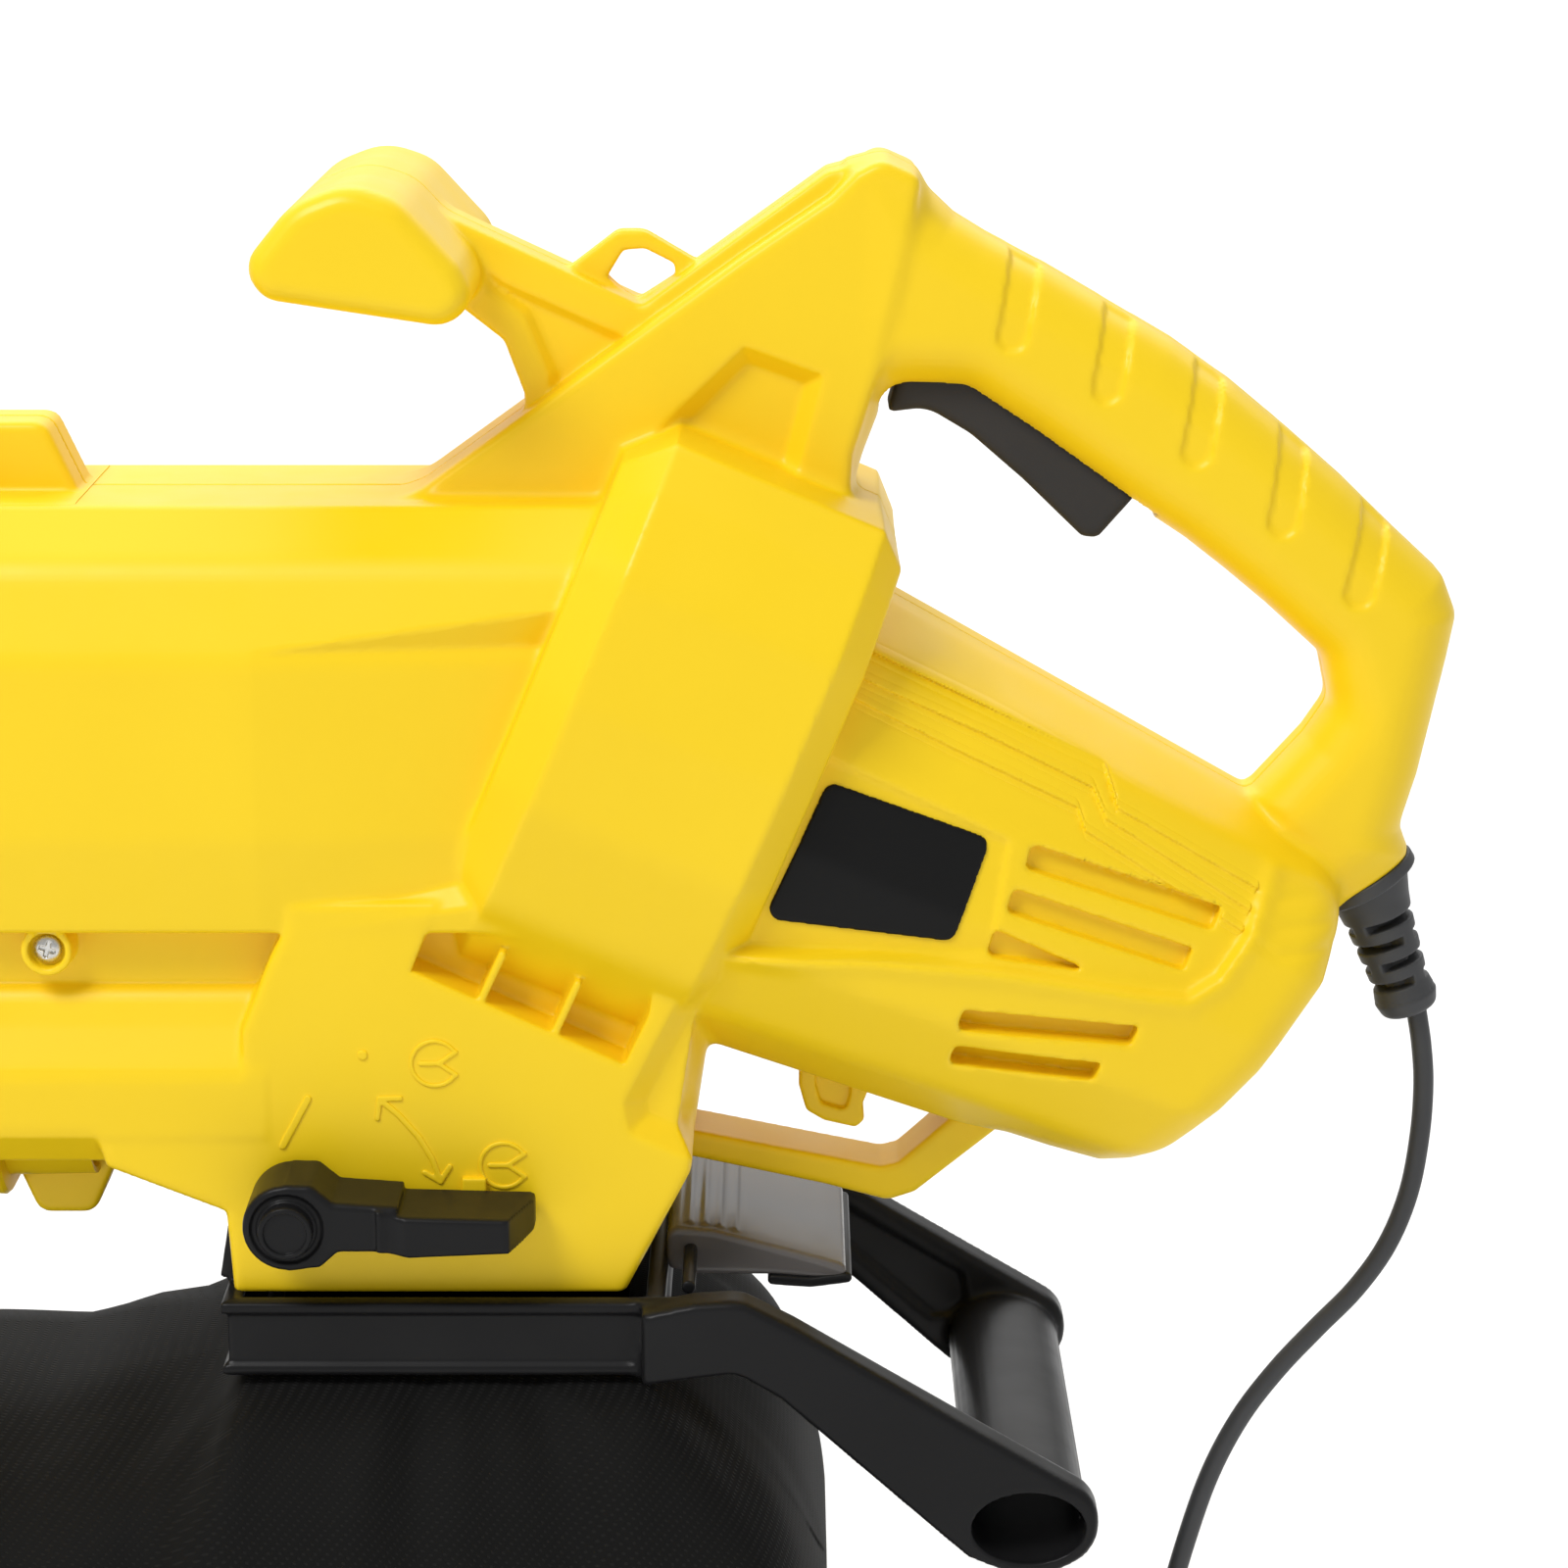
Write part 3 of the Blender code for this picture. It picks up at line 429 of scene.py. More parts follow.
def to_line(points, u, v):
    """Distance from (u, v) to an open line through the points."""
    nearest = FAR
    for (ax, az), (bx, bz) in zip(points, points[1:]):
        ex, ez = bx - ax, bz - az
        along = clip(((u - ax) * ex + (v - az) * ez) / (ex * ex + ez * ez), 0, 1)
        nearest = least(nearest, hypot(u - ax - ex * along, v - az - ez * along))
    return nearest


def chamfered(a, b, leg):
    """Meeting of two half spaces with their edge cut off at 45 degrees."""
    return most(a, b, (a + b + leg) * 0.7071)


# -------- casing

STEP = 1
WALL = 3
HALF_GAP = 0.15  # each half stops this far short of the parting plane
FRONT_X = -127
CHUTE_FLOOR = 321

DUCT_SECTION = (
    (-12, 544), (33, 544, 4), (52, 531, 16), (61.5, 506, 20), (62.5, 455, 30), (59.5, 427.5, 2),
    (-12, 427.5))
STUB_SECTION = (
    (-12, 413), (34, 413, 8), (50, 409, 8), (54, 399, 6), (60, 387, 8), (60, 368, 2),
    (51, 357.5, 3), (-12, 357.5))
DRUM_SECTION = (
    (-12, 93), (48, 92, 5), (60, 79, 14), (72, 58, 20), (75.5, 20, 40), (75, -12, 30),
    (66, -45, 25), (45, -69, 14), (-12, -73))
BARREL_SECTION = (
    (-12, 68), (12, 68, 20), (46, 57, 26), (61, 34, 24), (66.5, 4, 30), (66.5, -26, 14),
    (54, -50, 18), (26, -67, 18), (-12, -68))
BARREL_END = (
    (56, 600), (270, 480), (262, 430, 8), (254, 407, 10), (236, 382, 16), (218, 363, 12),
    (203, 348, 8), (193, 343.2, 6), (176, 347, 3), (164, 351, 3), (106, 345), (56, 345))
CHUTE_OUTLINE = (
    (-127, 386), (-127, 369), (-95, 369, 2), (-92, 358.5, 2), (-58.5, 345, 2), (-55.7, 300),
    (40, 300), (55.5, 322), (73.7, 357, 4), (80.5, 402, 3), (78, 420), (60, 437), (-39, 437),
    (-39.9, 428), (-44, 420), (-52.6, 399, 6), (-52.5, 386))
LEG_OUTLINE = (
    (-6, 543.5), (88.5, 611.5), (113, 628, 8), (120, 635, 3), (127, 638.6, 6), (138.5, 633.5, 4),
    (132.7, 607), (126, 578, 20), (119.5, 556), (117.5, 520), (0, 520))
SPINE_OUTLINE = ((59, 596), (112, 634, 3), (122, 636.5), (122, 600), (66, 580))
GRIP_OUTLINE = (
    (118, 636), (128, 637), (139, 630), (148, 621.5), (157, 616), (174, 607), (192, 596.5),
    (210, 586), (227, 574), (244, 560), (260, 546), (275, 531.5), (288.5, 519, 7), (292.8, 508, 7),
    (290.5, 495), (283.5, 461), (278.6, 444), (279.4, 437), (261, 420), (250, 425), (236, 444),
    (236, 455), (251, 472), (257.5, 482, 7), (254.5, 496, 9), (238, 511), (226, 521), (214.5, 530),
    (198, 541), (184, 551), (170, 561), (151, 573.5, 12), (130, 574, 8), (123, 556), (117, 541))
NECK_OUTLINE = (
    (2, 622), (9.5, 620.5), (60, 597, 3), (80, 596), (70, 570), (27, 566), (27, 572),
    (21.5, 587, 4), (9.5, 596.5, 2), (-4, 602))
NECK_WEB = (
    (16, 608), (22.5, 603.5), (57, 588), (66, 586), (60, 560), (33, 560), (34, 577), (27, 594, 5),
    (17, 601))
BAR_OUTLINE = (
    (-46, 613, 8), (-39.5, 604.5, 8), (9.5, 597, 10), (17.5, 604.5, 8), (13, 614, 12),
    (-3, 631.5, 16), (-16.5, 636, 18), (-32, 630, 20))
EYE_OUTER = ((39, 606), (53.5, 617, 4), (61, 617, 6), (78, 607), (70, 592), (50, 592))
EYE_HOLE = (
    (50.5, 604), (55, 611.3, 2), (61, 611.8, 2), (69.5, 607.5, 2), (69.5, 604, 1), (58, 597, 1))
BAND_POCKET = ((64.5, 563.5), (89, 587.3), (111.6, 579), (101.5, 540), (60, 550))
FOOT_OUTLINE = ((-129, 346), (-121, 326.5, 5), (-104.5, 326.5, 5), (-96, 346), (-110, 362))
TAB_OUTLINE = ((-127, 530), (-127, 564), (-108.5, 564, 5), (-99, 543), (-97, 530))
TRIGGER_SLOT = (
    (127, 563), (146, 560), (184, 527), (195, 525), (211, 543), (210, 560), (168, 602), (127, 600))
UNDER_DRUM = ((-4, 417), (8, 447), (66, 425), (62, 403.5), (55.2, 389.5))
CHUTE_BEVEL = ((70, 408.5, 2), (54.5, 378, 4), (56, 369, 4), (75, 360.5), (95, 362), (95, 425))
STEP_LINES = (
    ((100, 517), (116.6, 508.6), (169.5, 481.2), (190.5, 470.5), (194, 459.6), (240, 432)),
    ((100, 508.5), (114, 502), (157.6, 480.6), (187, 465.2), (190.6, 457), (240, 424.5)),
    ((100, 502.5), (112, 497), (149.7, 477), (182.5, 460.3), (184.6, 454.2), (240, 417.5)))
BELT_LINE = (
    (60, 424.5), (80, 423), (124, 420.3), (160.7, 415.5), (203, 407), (214.5, 405.5), (224, 411),
    (232.6, 423), (238, 437), (249.5, 457), (262, 475))
VENTS = (
    ((169.5, 451.5, 1.5), (223.8, 431, 1), (221, 424.8, 1), (167.5, 444.8, 2)),
    ((164.5, 439.3, 1.5), (215.5, 420, 1), (213, 413.8, 1), (162.3, 432.8, 2)),
    ((159.3, 428, 1.5), (187, 414.6, 0.6), (157, 420.3, 2)),
    ((150.5, 405.6, 1.5), (200.5, 399, 1), (198, 393.6, 1), (148.6, 399.4, 2)),
    ((148.6, 394, 1.5), (190, 388.4, 1), (187.6, 383, 1), (146.6, 387.6, 2)))
PANEL_OUTLINE = BELT_LINE + ((240, 520), (60, 560))
STEP_IN = 3.9
GLAND = (270.4, 427.6)  # where the lead leaves the housing
GRIP_GROOVES = (
    ((167.8, 611), (163.8, 589.5)), ((194.5, 596), (190.5, 575)), ((220, 578.5), (216, 557)),
    ((244.5, 560), (240.8, 537)), ((268.6, 539.5), (263, 516.5)))


def line_height(line, x):
    """Height of a line that runs left to right."""
    return interp(x, *zip(*line))


def motor_axes(x, z):
    """Distance along the motor's axis and away from it."""
    dx, dz = x - DRUM_FRONT[0], z - DRUM_FRONT[1]
    return dx * MOTOR_COS - dz * MOTOR_SIN, dx * MOTOR_SIN + dz * MOTOR_COS


def barrel_side(x, t, z):
    """Distance from the motor barrel's plain flank, before its steps."""
    s, r = motor_axes(x, z)
    top = 69.4 - 0.115 * (s - 79)
    bottom = -71.1 + 0.06 * (s - 91)
    taper = 1 - clip(s - 90, 0, 200) * 0.0016
    height = (r - (top + bottom) / 2) * (136 / (top - bottom))
    return to_section(BARREL_SECTION, t / taper, height)


def stepped_barrel(x, t, z, soft):
    """Motor barrel whose flank steps in below its top shell; soft is the steps' half width."""
    inner = slab(barrel_side(x, t, z), to_outline(BARREL_END, x, z), 12)
    steps = sum(ramp(line_height(line, x) - z, -soft, soft) for line in STEP_LINES)
    behind_drum = ramp(motor_axes(x, z)[0], 74, 84)
    panel = ramp(-to_outline(PANEL_OUTLINE, x, z), 0.5, 3.5) * behind_drum
    ridge = 1.4 * np.exp(-(to_line(BELT_LINE, x, z) / 3.4) ** 2) * behind_drum
    return inner, inner + (STEP_IN / 3 * steps * panel - ridge) * ramp(t, 30, 40)


def line_band(x, z):
    """Upright distance to the nearest of the barrel's step lines."""
    return least(*(abs(z - line_height(line, x)) for line in STEP_LINES))


def vent_distance(x, z):
    return least(*(to_outline(corners, x, z) for corners in VENTS))


def step_trim_field(x, y, z):
    """Crisp strips that lie over the steps of the barrel's flank."""
    band = line_band(x, z)
    face = stepped_barrel(x, abs(y), z, 0.3)[1] - 0.14 + 0.4 * ramp(band, 1.6, 3)
    inside = most(to_outline(PANEL_OUTLINE, x, z) + 3, 83 - motor_axes(x, z)[0])
    strips = most(band - 3, inside, 0.8 - vent_distance(x, z))
    return most(face, -face - 1.8, strips)


def casing_fields(x, t, z):
    """Solid of one casing half in its side coordinate t, and its named bodies."""
    s, r = motor_axes(x, z)

    def flat(corners):
        return to_outline(corners, x, z)

    # suction duct, with a wedge-shaped set-back towards the drum
    along = clip((x + 46) * 0.1, 0, 8)
    from_top = (508 + (x + 46) * 0.133 - z) * 0.8
    from_bottom = (z - 428 - clip(x + 40, 0, 100) * 0.14) * 0.8
    set_back = clip(least(along, least(from_top, from_bottom)), 0, 8)
    tube = to_outline(DUCT_SECTION, t, z) + set_back * ramp(t, 20, 50)
    duct = most(tube, most(FRONT_X - x, x - 62 - (z - DRUM_FRONT[1]) * 0.42))
    tab = slab(flat(TAB_OUTLINE), t - 12.5, 2.5)
    duct = union(duct, tab, 1.5)

    # fan drum
    section = to_section(DRUM_SECTION, t, r)
    drum_open = chamfered(section, -s, 12)
    drum = chamfered(drum_open, s - 82 - t * 0.02, 9)

    # lower casing with the blown-air stub, the pocket under the drum and its two ribs
    bevel = clip(-flat(CHUTE_BEVEL) * 0.9, 0, 5.5)
    plate = slab(flat(CHUTE_OUTLINE), t - 60, 2.5) + bevel * ramp(t, 30, 48)
    stub = most(to_outline(STUB_SECTION, t, z), x + 46)
    lower_open = union(plate, stub, 1.5)
    lower_open = most(lower_open, z - 437)
    pocket = most(flat(UNDER_DRUM), 46 - t)
    lower_open = minus(lower_open, pocket, 1)
    for foot, head in (((14.8, 407.2), (21.5, 421.5)), ((35.7, 398.3), (42.5, 413))):
        rib = most(to_line((foot, head), x, z) - 1.1, t - 59.3)
        lower_open = union(lower_open, rib, 0.6)
    web = most(x + 40, abs(z - 420) - 12, t - 47)
    lower = most(union(lower_open, web), most(FRONT_X - x, CHUTE_FLOOR - z))
    foot = slab(flat(FOOT_OUTLINE), t - 11, 2.5)

    # motor barrel with its flank steps, label bed and vents
    inner, barrel = stepped_barrel(x, t, z, 0.8)
    relief = ramp(t, 30, 40)
    barrel = barrel + 0.7 * np.exp(-(line_band(x, z) / 1.6) ** 2) * relief * ramp(s, 80, 84)
    label_area = ramp(160.5 + (z - 437) * 0.16 - x, -0.8, 0.8)
    label_area = label_area * ramp(z - 421.5 + (x - 100) * 0.03, 0, 2.5)
    label_area = label_area * ramp(478 - (x - 112) * 0.5 - z, -1, 1)
    barrel = barrel + 1.4 * label_area * relief
    vent_pocket = most(vent_distance(x, z), -(inner + STEP_IN + 4.8))
    barrel = minus(barrel, where(t > 30, vent_pocket, FAR), 0.8)

    # main handle: leg, raised spine, pocket under the band, grip
    pocket_depth = clip(-flat(BAND_POCKET) , 0, 5)
    leg = slab(flat(LEG_OUTLINE), t - 22, 3) + pocket_depth * ramp(t, 12, 16)
    spine = slab(flat(SPINE_OUTLINE), t - 12, 2)
    grip = slab(flat(GRIP_OUTLINE), t - 21, 16)
    groove = least(*(to_line(ends, x, z) for ends in GRIP_GROOVES))
    upper_edge = interp(x, [150, 174, 210, 244, 275, 292], [620, 607, 586, 560, 531.5, 509])
    shallow = 1.4 * ramp(4.3 - groove, -0.5, 0.5) * ramp(t, 5, 8)
    grip = grip + shallow * ramp(upper_edge - z, -8, -6)
    out = (x - GLAND[0]) * 0.52 - (z - GLAND[1]) * 0.854
    across = (x - GLAND[0]) * 0.854 + (z - GLAND[1]) * 0.52
    spout = slab(hypot(across, t) - 14.8, abs(out + 13) - 11.3, 1.5)
    grip = union(grip, spout, 6)
    handle = union(union(leg, grip, 5), spine, 1.5)
    slot = most(flat(TRIGGER_SLOT), t - 10.9)
    handle = minus(handle, slot, 0.6)

    # auxiliary bar on its neck, and the strap eye
    hollow = clip(-flat(NECK_WEB) , 0, 3)
    neck = slab(flat(NECK_OUTLINE), t - 12, 2) + hollow * ramp(t, 5, 7)
    bar = slab(flat(BAR_OUTLINE), t - 60, 6)
    front_handle = union(bar, neck, 3)
    eye = slab(most(flat(EYE_OUTER), -flat(EYE_HOLE)), t - 4, 1.2)

    core = union(union(duct, drum, 2.5), union(lower, barrel, 4), 1)
    tube = most(tube, x - 62 - (z - DRUM_FRONT[1]) * 0.42)
    nozzle_hole = (hypot(t / 44, (z - 376.5) / 36) - 1) * 36
    hollow_chute = most(lower_open, least(-124 - x, nozzle_hole) - WALL)
    cavity = union(least(tube, drum), least(hollow_chute, inner + 8)) + WALL
    cavity = most(cavity, x - 232)
    body = union(core, foot, 1.5)
    body = union(body, handle, 4)
    body = most(body, -cavity)
    body = union(body, union(front_handle, eye, 1.5), 1.5)
    body = most(body, HALF_GAP - t)
    chute_part = where(x > -57, lower, FAR)
    stub_part = where(x <= -57, least(lower, foot), FAR)
    return body, {"duct_shell": duct, "fan_drum": drum, "chute_shell": chute_part,
                  "blow_stub": stub_part, "motor_shell": barrel, "handle_shell": handle,
                  "front_handle": front_handle, "strap_eye": eye}


SCREW_BOSS = (-106.5, 421.8)  # boss under the duct's front edge, with its screw on the left
RIGHT_SCREWS = (
    (100, 618, 22), (222, 548, 21), (272, 470, 21), (61, 353, 60), (-32, 408, 60), (40, 572, 22))


def side_extras(body, x, t, z, side):
    """Screw boss on both sides, and the sunk screw holes on the right one."""
    radius = hypot(x - SCREW_BOSS[0], z - SCREW_BOSS[1])
    boss = slab(radius - 7.3, t - 57, 1)
    body = union(body, most(boss, 40 - t), 1)
    hole = most(radius - 5.2, 53 - t)
    body = minus(body, hole, 0.6)
    if side > 0:
        for px, pz, half in RIGHT_SCREWS:
            hole = most(hypot(x - px, z - pz) - 4.6, half - 2.6 - t)
            body = minus(body, hole, 0.8)
    return body


def vertex_normals(verts, faces):
    a, b, c, d = (verts[faces[:, k]] for k in range(4))
    face_normals = np.cross(c - a, d - b)
    total = np.zeros_like(verts)
    for k in range(4):
        for axis in range(3):
            total[:, axis] += np.bincount(faces[:, k], face_normals[:, axis], len(verts))
    return total / most(np.linalg.norm(total, axis=1, keepdims=True), 1e-9)


def split_mesh(name, verts, faces, normals, keep):
    """Part of a larger mesh that keeps the whole surface's smooth normals."""
    used, index = np.unique(faces[keep], return_inverse=True)
    return grid_mesh(name, verts[used], index.reshape(-1, 4), normals[used])


def make_casing():
    grid = Grid((-132, -2.5 * STEP, 316), (297, 80, 642), STEP)
    body, parts = casing_fields(grid.x, grid.y, grid.z)
    stacked = [np.broadcast_to(field, grid.shape) for field in parts.values()]
    for side_name, side in (("left", -1), ("right", 1)):
        half = side_extras(body, grid.x, grid.y, grid.z, side)
        verts, faces = surface(half, grid)
        centres = (verts[faces].mean(axis=1) - grid.low) / grid.step
        nearest = np.argmin(np.stack([sample(field, centres) for field in stacked]), axis=0)
        verts[:, 1] *= side
        if side < 0:
            faces = faces[:, ::-1]
        normals = vertex_normals(verts, faces)
        for number, name in enumerate(parts):
            piece = f"{name}_{side_name}"
            mesh = split_mesh(piece + "_skin", verts, faces, normals, nearest == number)
            node = name if name in ("blow_stub", "front_handle", "strap_eye") else piece
            add_piece(piece + "_skin", mesh, YELLOW, "housing", node)


make_casing()

# -------- smaller mouldings

TRIGGER_GREY = moulded_plastic("trigger_rubber", (0.036, 0.034, 0.033), (0.046, 0.043, 0.041), 0.62,
                               grain=1500, grain_depth=0.00012)
LATCH_GREY = moulded_plastic("latch_plastic", (0.085, 0.078, 0.076), (0.12, 0.11, 0.105), 0.22,
                             specular=0.45)
LABEL_BLACK = moulded_plastic("label_film", (0.006, 0.006, 0.006), (0.008, 0.008, 0.008), 0.3)
RUBBER = moulded_plastic("cord_rubber", (0.035, 0.036, 0.038), (0.045, 0.046, 0.048), 0.5,
                         specular=0.4)


def metal(name, colour, roughness, brush):
    """Bright metal with fine uneven polish."""
    made = material(name, colour, roughness, metallic=1)
    nodes = Nodes(made)
    polish = nodes.remap(nodes.noise(brush, 3), 0.3, 0.7, roughness - 0.08, roughness + 0.1)
    nodes.link(polish, nodes.shader.inputs["Roughness"])
    return made


STEEL = metal("zinc_steel", (0.62, 0.61, 0.58), 0.28, 900)
COPPER = metal("copper_bars", (0.72, 0.35, 0.2), 0.32, 1500)
BRASS = metal("brass_gear", (0.78, 0.6, 0.25), 0.3, 1200)
NYLON = moulded_plastic("nylon_moulding", (0.03, 0.03, 0.033), (0.04, 0.04, 0.043), 0.46)


def carve(name, low, high, step, field_of, made=YELLOW, body="housing"):
    """Piece whose solid is a field over the box from low to high."""
    margin = 2 * step
    grid = Grid([v - margin for v in low], [v + margin for v in high], step)
    field = np.ascontiguousarray(np.broadcast_to(field_of(grid.x, grid.y, grid.z), grid.shape))
    verts, faces = surface(field, grid)
    mesh = grid_mesh(name, verts, faces, vertex_normals(verts, faces))
    return add_piece(name, mesh, made, body)


GUARD_OUTER = (
    (71, 344.5), (112, 335.5), (131, 330.3, 6), (139, 333, 4), (164, 353.5), (158, 362),
    (150, 366), (71, 366))
GUARD_INNER = (
    (60, 362), (60, 354.6), (76, 351.8), (112, 344.4), (129, 341, 5), (134, 342.2, 4), (158, 364),
    (150, 376), (60, 376))
HOOK_OUTLINE = (
    (105, 376), (104.5, 366, 3), (106.7, 358, 3), (112, 354.8, 3), (121.5, 352.6, 2),
    (124, 355, 2), (123.5, 360, 2), (127, 369, 2), (127, 376))
HOOK_SCOOP = (
    (109.5, 373), (109.5, 366, 2), (111, 360.5, 2), (118.5, 358, 2), (119.5, 362, 2), (121, 373))


def guard_field(x, y, z):
    loop = most(to_outline(GUARD_OUTER, x, z), -to_outline(GUARD_INNER, x, z))
    return slab(loop, abs(y) - 11, 1.8)


def hook_field(x, y, z):
    tab = slab(to_outline(HOOK_OUTLINE, x, z), abs(y) - 9, 1.2)
    return minus(tab, most(to_outline(HOOK_SCOOP, x, z), 6.8 - abs(y)), 1)


def trigger_field(x, y, z):
    outline = ((129.5, 567, 1), (132, 576), (137, 585, 2), (150, 583, 4), (199, 545, 2),
               (199.5, 541.5, 1), (189.5, 530, 3), (185, 530.5, 3), (168, 547), (153, 560, 20),
               (140.5, 567.5, 12), (131, 566.3, 1))
    return slab(to_outline(outline, x, z), abs(y) - 10, 3)


LEVER_HUB = (-38, 350)


def lever_field(x, y, z):
    px, pz = LEVER_HUB
    hub = hypot(x - px, z - pz) - 12.4
    root = ((px, pz + 12.4), (px + 7, pz + 12.6, 3), (px + 13, pz + 7.5, 2), (px + 31, pz + 6.2),
            (px + 31, pz - 7), (px + 14, pz - 7, 3), (px + 9, pz - 11.6, 3), (px, pz - 12.4))
    body = union(hub, to_outline(root, x, z), 1)
    near = slab(body, abs(y + 74.3) - 11.7, 1.8)
    arm = ((px + 25, pz + 5.8), (px + 31, pz + 4, 1), (px + 68, pz + 3, 1.5),
           (px + 68, pz - 6.5, 1.5), (px + 34, pz - 8, 1), (px + 25, pz - 6.5))
    tip = x - (px + 61.5) - (y + 88) * 0.34
    arm = slab(most(to_outline(arm, x, z), tip), abs(y + 75.3) - 12.7, 1.5)
    neck_dip = hypot(x - (px + 29), (y + 90.5) * 1.1) - 4.2
    lever = minus(union(near, arm, 1), neck_dip, 1.2)
    rim = abs(hypot(x - px, z - pz) - 9.2) - 0.8
    return minus(lever, most(rim, y + 85), 0.4)


def cap_field(x, y, z):
    ring = hypot(x - LEVER_HUB[0], z - LEVER_HUB[1])
    disc = slab(ring - 7.6, abs(y + 87.6) - 2.2, 0.8)
    dish = most(ring - 6, y + 88.9)
    return minus(disc, dish, 0.4)


def label_field(x, y, z):
    outline = ((112.3, 471.5, 3.5), (158, 453.5, 3.5), (147.5, 424.8, 3.5), (94.5, 433, 3.5))
    plan = to_outline(outline, x, z)
    face = barrel_side(x, -y, z) + STEP_IN
    return most(slab(plan, face + 0.4, 0.4), -1.8 - face)


def latch_field(x, y, z):
    outline = ((66, 318, 3), (66, 331, 3), (80, 329.5, 3), (113, 320.5, 1), (119, 318.5, 2),
               (117.5, 314.5, 2), (96, 316), (74, 316, 3))
    plate = slab(to_outline(outline, x, z), abs(y) - 34, 1.5)
    hollow = ((63, 312), (72, 325.5, 3), (80, 325), (112, 316.5), (112, 305), (63, 305))
    plate = minus(plate, most(to_outline(hollow, x, z), abs(y) - 31.5), 0.6)
    ribs = 0.7 * np.exp(-((np.mod(x, 4.4) - 2.2) / 0.75) ** 2) * ramp(x, 68, 70)
    ribs = ribs * ramp(90 - x, 0, 2) * ramp(30 - abs(y), 0, 2)
    return plate - ribs * ramp(z, 316, 320)


ARM_OUTLINE = (
    (60, 299.8), (86.5, 303.5, 10), (99, 296, 14), (143, 256, 6), (153, 247, 6), (172, 240, 16),
    (190, 249, 13), (190, 265, 12), (160, 283), (103, 317.5, 30), (88, 325.5, 12), (74, 324.5, 8),
    (60, 321.3))


def frame_field(x, y, z):
    t = abs(y)
    plan = most(abs(x - 3.5) - 61.5, t - 68)
    wall = most(plan, -(plan + 4))
    collar = slab(wall, abs(z - 310.5) - 11, 1.2)
    lip = most(plan - 1.6, -(plan + 4))
    rim, foot = (slab(lip, abs(z - level) - 1.7, 0.8) for level in (319.8, 301))
    collar = union(collar, union(rim, foot), 0.8)
    hook = slab(to_outline(((-62, 322), (-58, 345, 1), (-54.8, 345, 1), (-52, 322)), x, z),
                t - 52, 0.8)
    arm = slab(to_outline(ARM_OUTLINE, x, z), abs(t - 73) - 6, 2.2)
    inside = to_outline(((52, 306), (88, 309, 6), (102, 301, 8), (147, 261, 3), (160, 262, 6),
                               (158, 277, 4), (101, 312, 12), (86, 321, 6), (52, 321)), x, z)
    arm = arm + clip(-inside , 0, 2) * ramp(72 - t, 0, 1)
    bar = slab(hypot((x - 170) / 1.3, z - 256.5) - 13.4, t - 78.5, 2)
    frame_body = union(union(collar, arm, 4), bar, 2.5)
    frame_body = union(frame_body, hook, 1)
    return minus(frame_body, hypot((x - 170) / 1.5, z - 256.5) - 10.8, 0.8)


def gland_field(x, y, z):
    """Bend-relief sleeve: a tilted flange, then a ribbed sleeve cut by staggered slots."""
    dx, dz = x - GLAND[0], z - GLAND[1]
    flange_across = dx * 0.854 + dz * 0.52
    flange_out = dx * 0.52 - dz * 0.854
    flange = slab(hypot(flange_across, y) - 15.6, abs(flange_out - 0.6) - 2, 0.8)
    along = dx * 0.345 - dz * 0.9386
    across = dx * 0.9386 + dz * 0.345
    radius = hypot(across, y)
    sleeve_radius = interp(along, [0, 8, 14, 34, 39, 43], [13, 11, 10, 8.4, 9.4, 8.2])
    sleeve = slab(radius - sleeve_radius.astype(np.float32), abs(along - 22) - 21.5, 1.6)
    row = (along - 10.5) / 6.4
    level = (row - np.floor(row) - 0.5) * 6.4
    first, second = (across + y) * 0.7071, (across - y) * 0.7071
    bridge = where(np.mod(np.floor(row), 2) > 0.5, 2.4 - abs(first), 2.4 - abs(second))
    slots = most(abs(level) - 1.3, bridge, abs(along - 24.5) - 13.5)
    return union(flange, minus(sleeve, most(slots, 4.2 - radius), 0.5), 1)


for trim_side, trim_low, trim_high in (("left", -66, -34), ("right", 34, 66)):
    carve("flank_steps_" + trim_side, (98, trim_low, 408), (242, trim_high, 522), 0.55,
        step_trim_field)
carve("lower_guard_skin", (60, -11, 328), (166, 11, 378), 0.8, guard_field, YELLOW)
carve("cable_hook_skin", (102, -9, 350), (130, 9, 378), 0.6, hook_field, YELLOW)
carve("trigger_skin", (126, -10, 527), (202, 10, 588), 0.8, trigger_field, TRIGGER_GREY,
    "trigger")
carve("selector_lever_skin", (-52, -89, 335), (32, -62, 364), 0.6, lever_field, BLACK,
    "selector")
carve("lever_cap_skin", (-46, -90.5, 342), (-30, -85, 358), 0.4, cap_field, BLACK,
    "selector")
carve("label_plate_skin", (92, -66, 420), (161, -50, 475), 0.7, label_field, LABEL_BLACK)
carve("bag_latch_skin", (63, -35, 303), (120, 35, 333), 0.8, latch_field, LATCH_GREY,
    "latch")
carve("bag_frame_skin", (-64, -80, 238), (193, 80, 347), 1.2, frame_field, BLACK,
    "bag_carrier")
carve("strain_relief_skin", (254, -16, 382), (298, 16, 442), 0.5, gland_field, RUBBER)


# -------- screws and pins

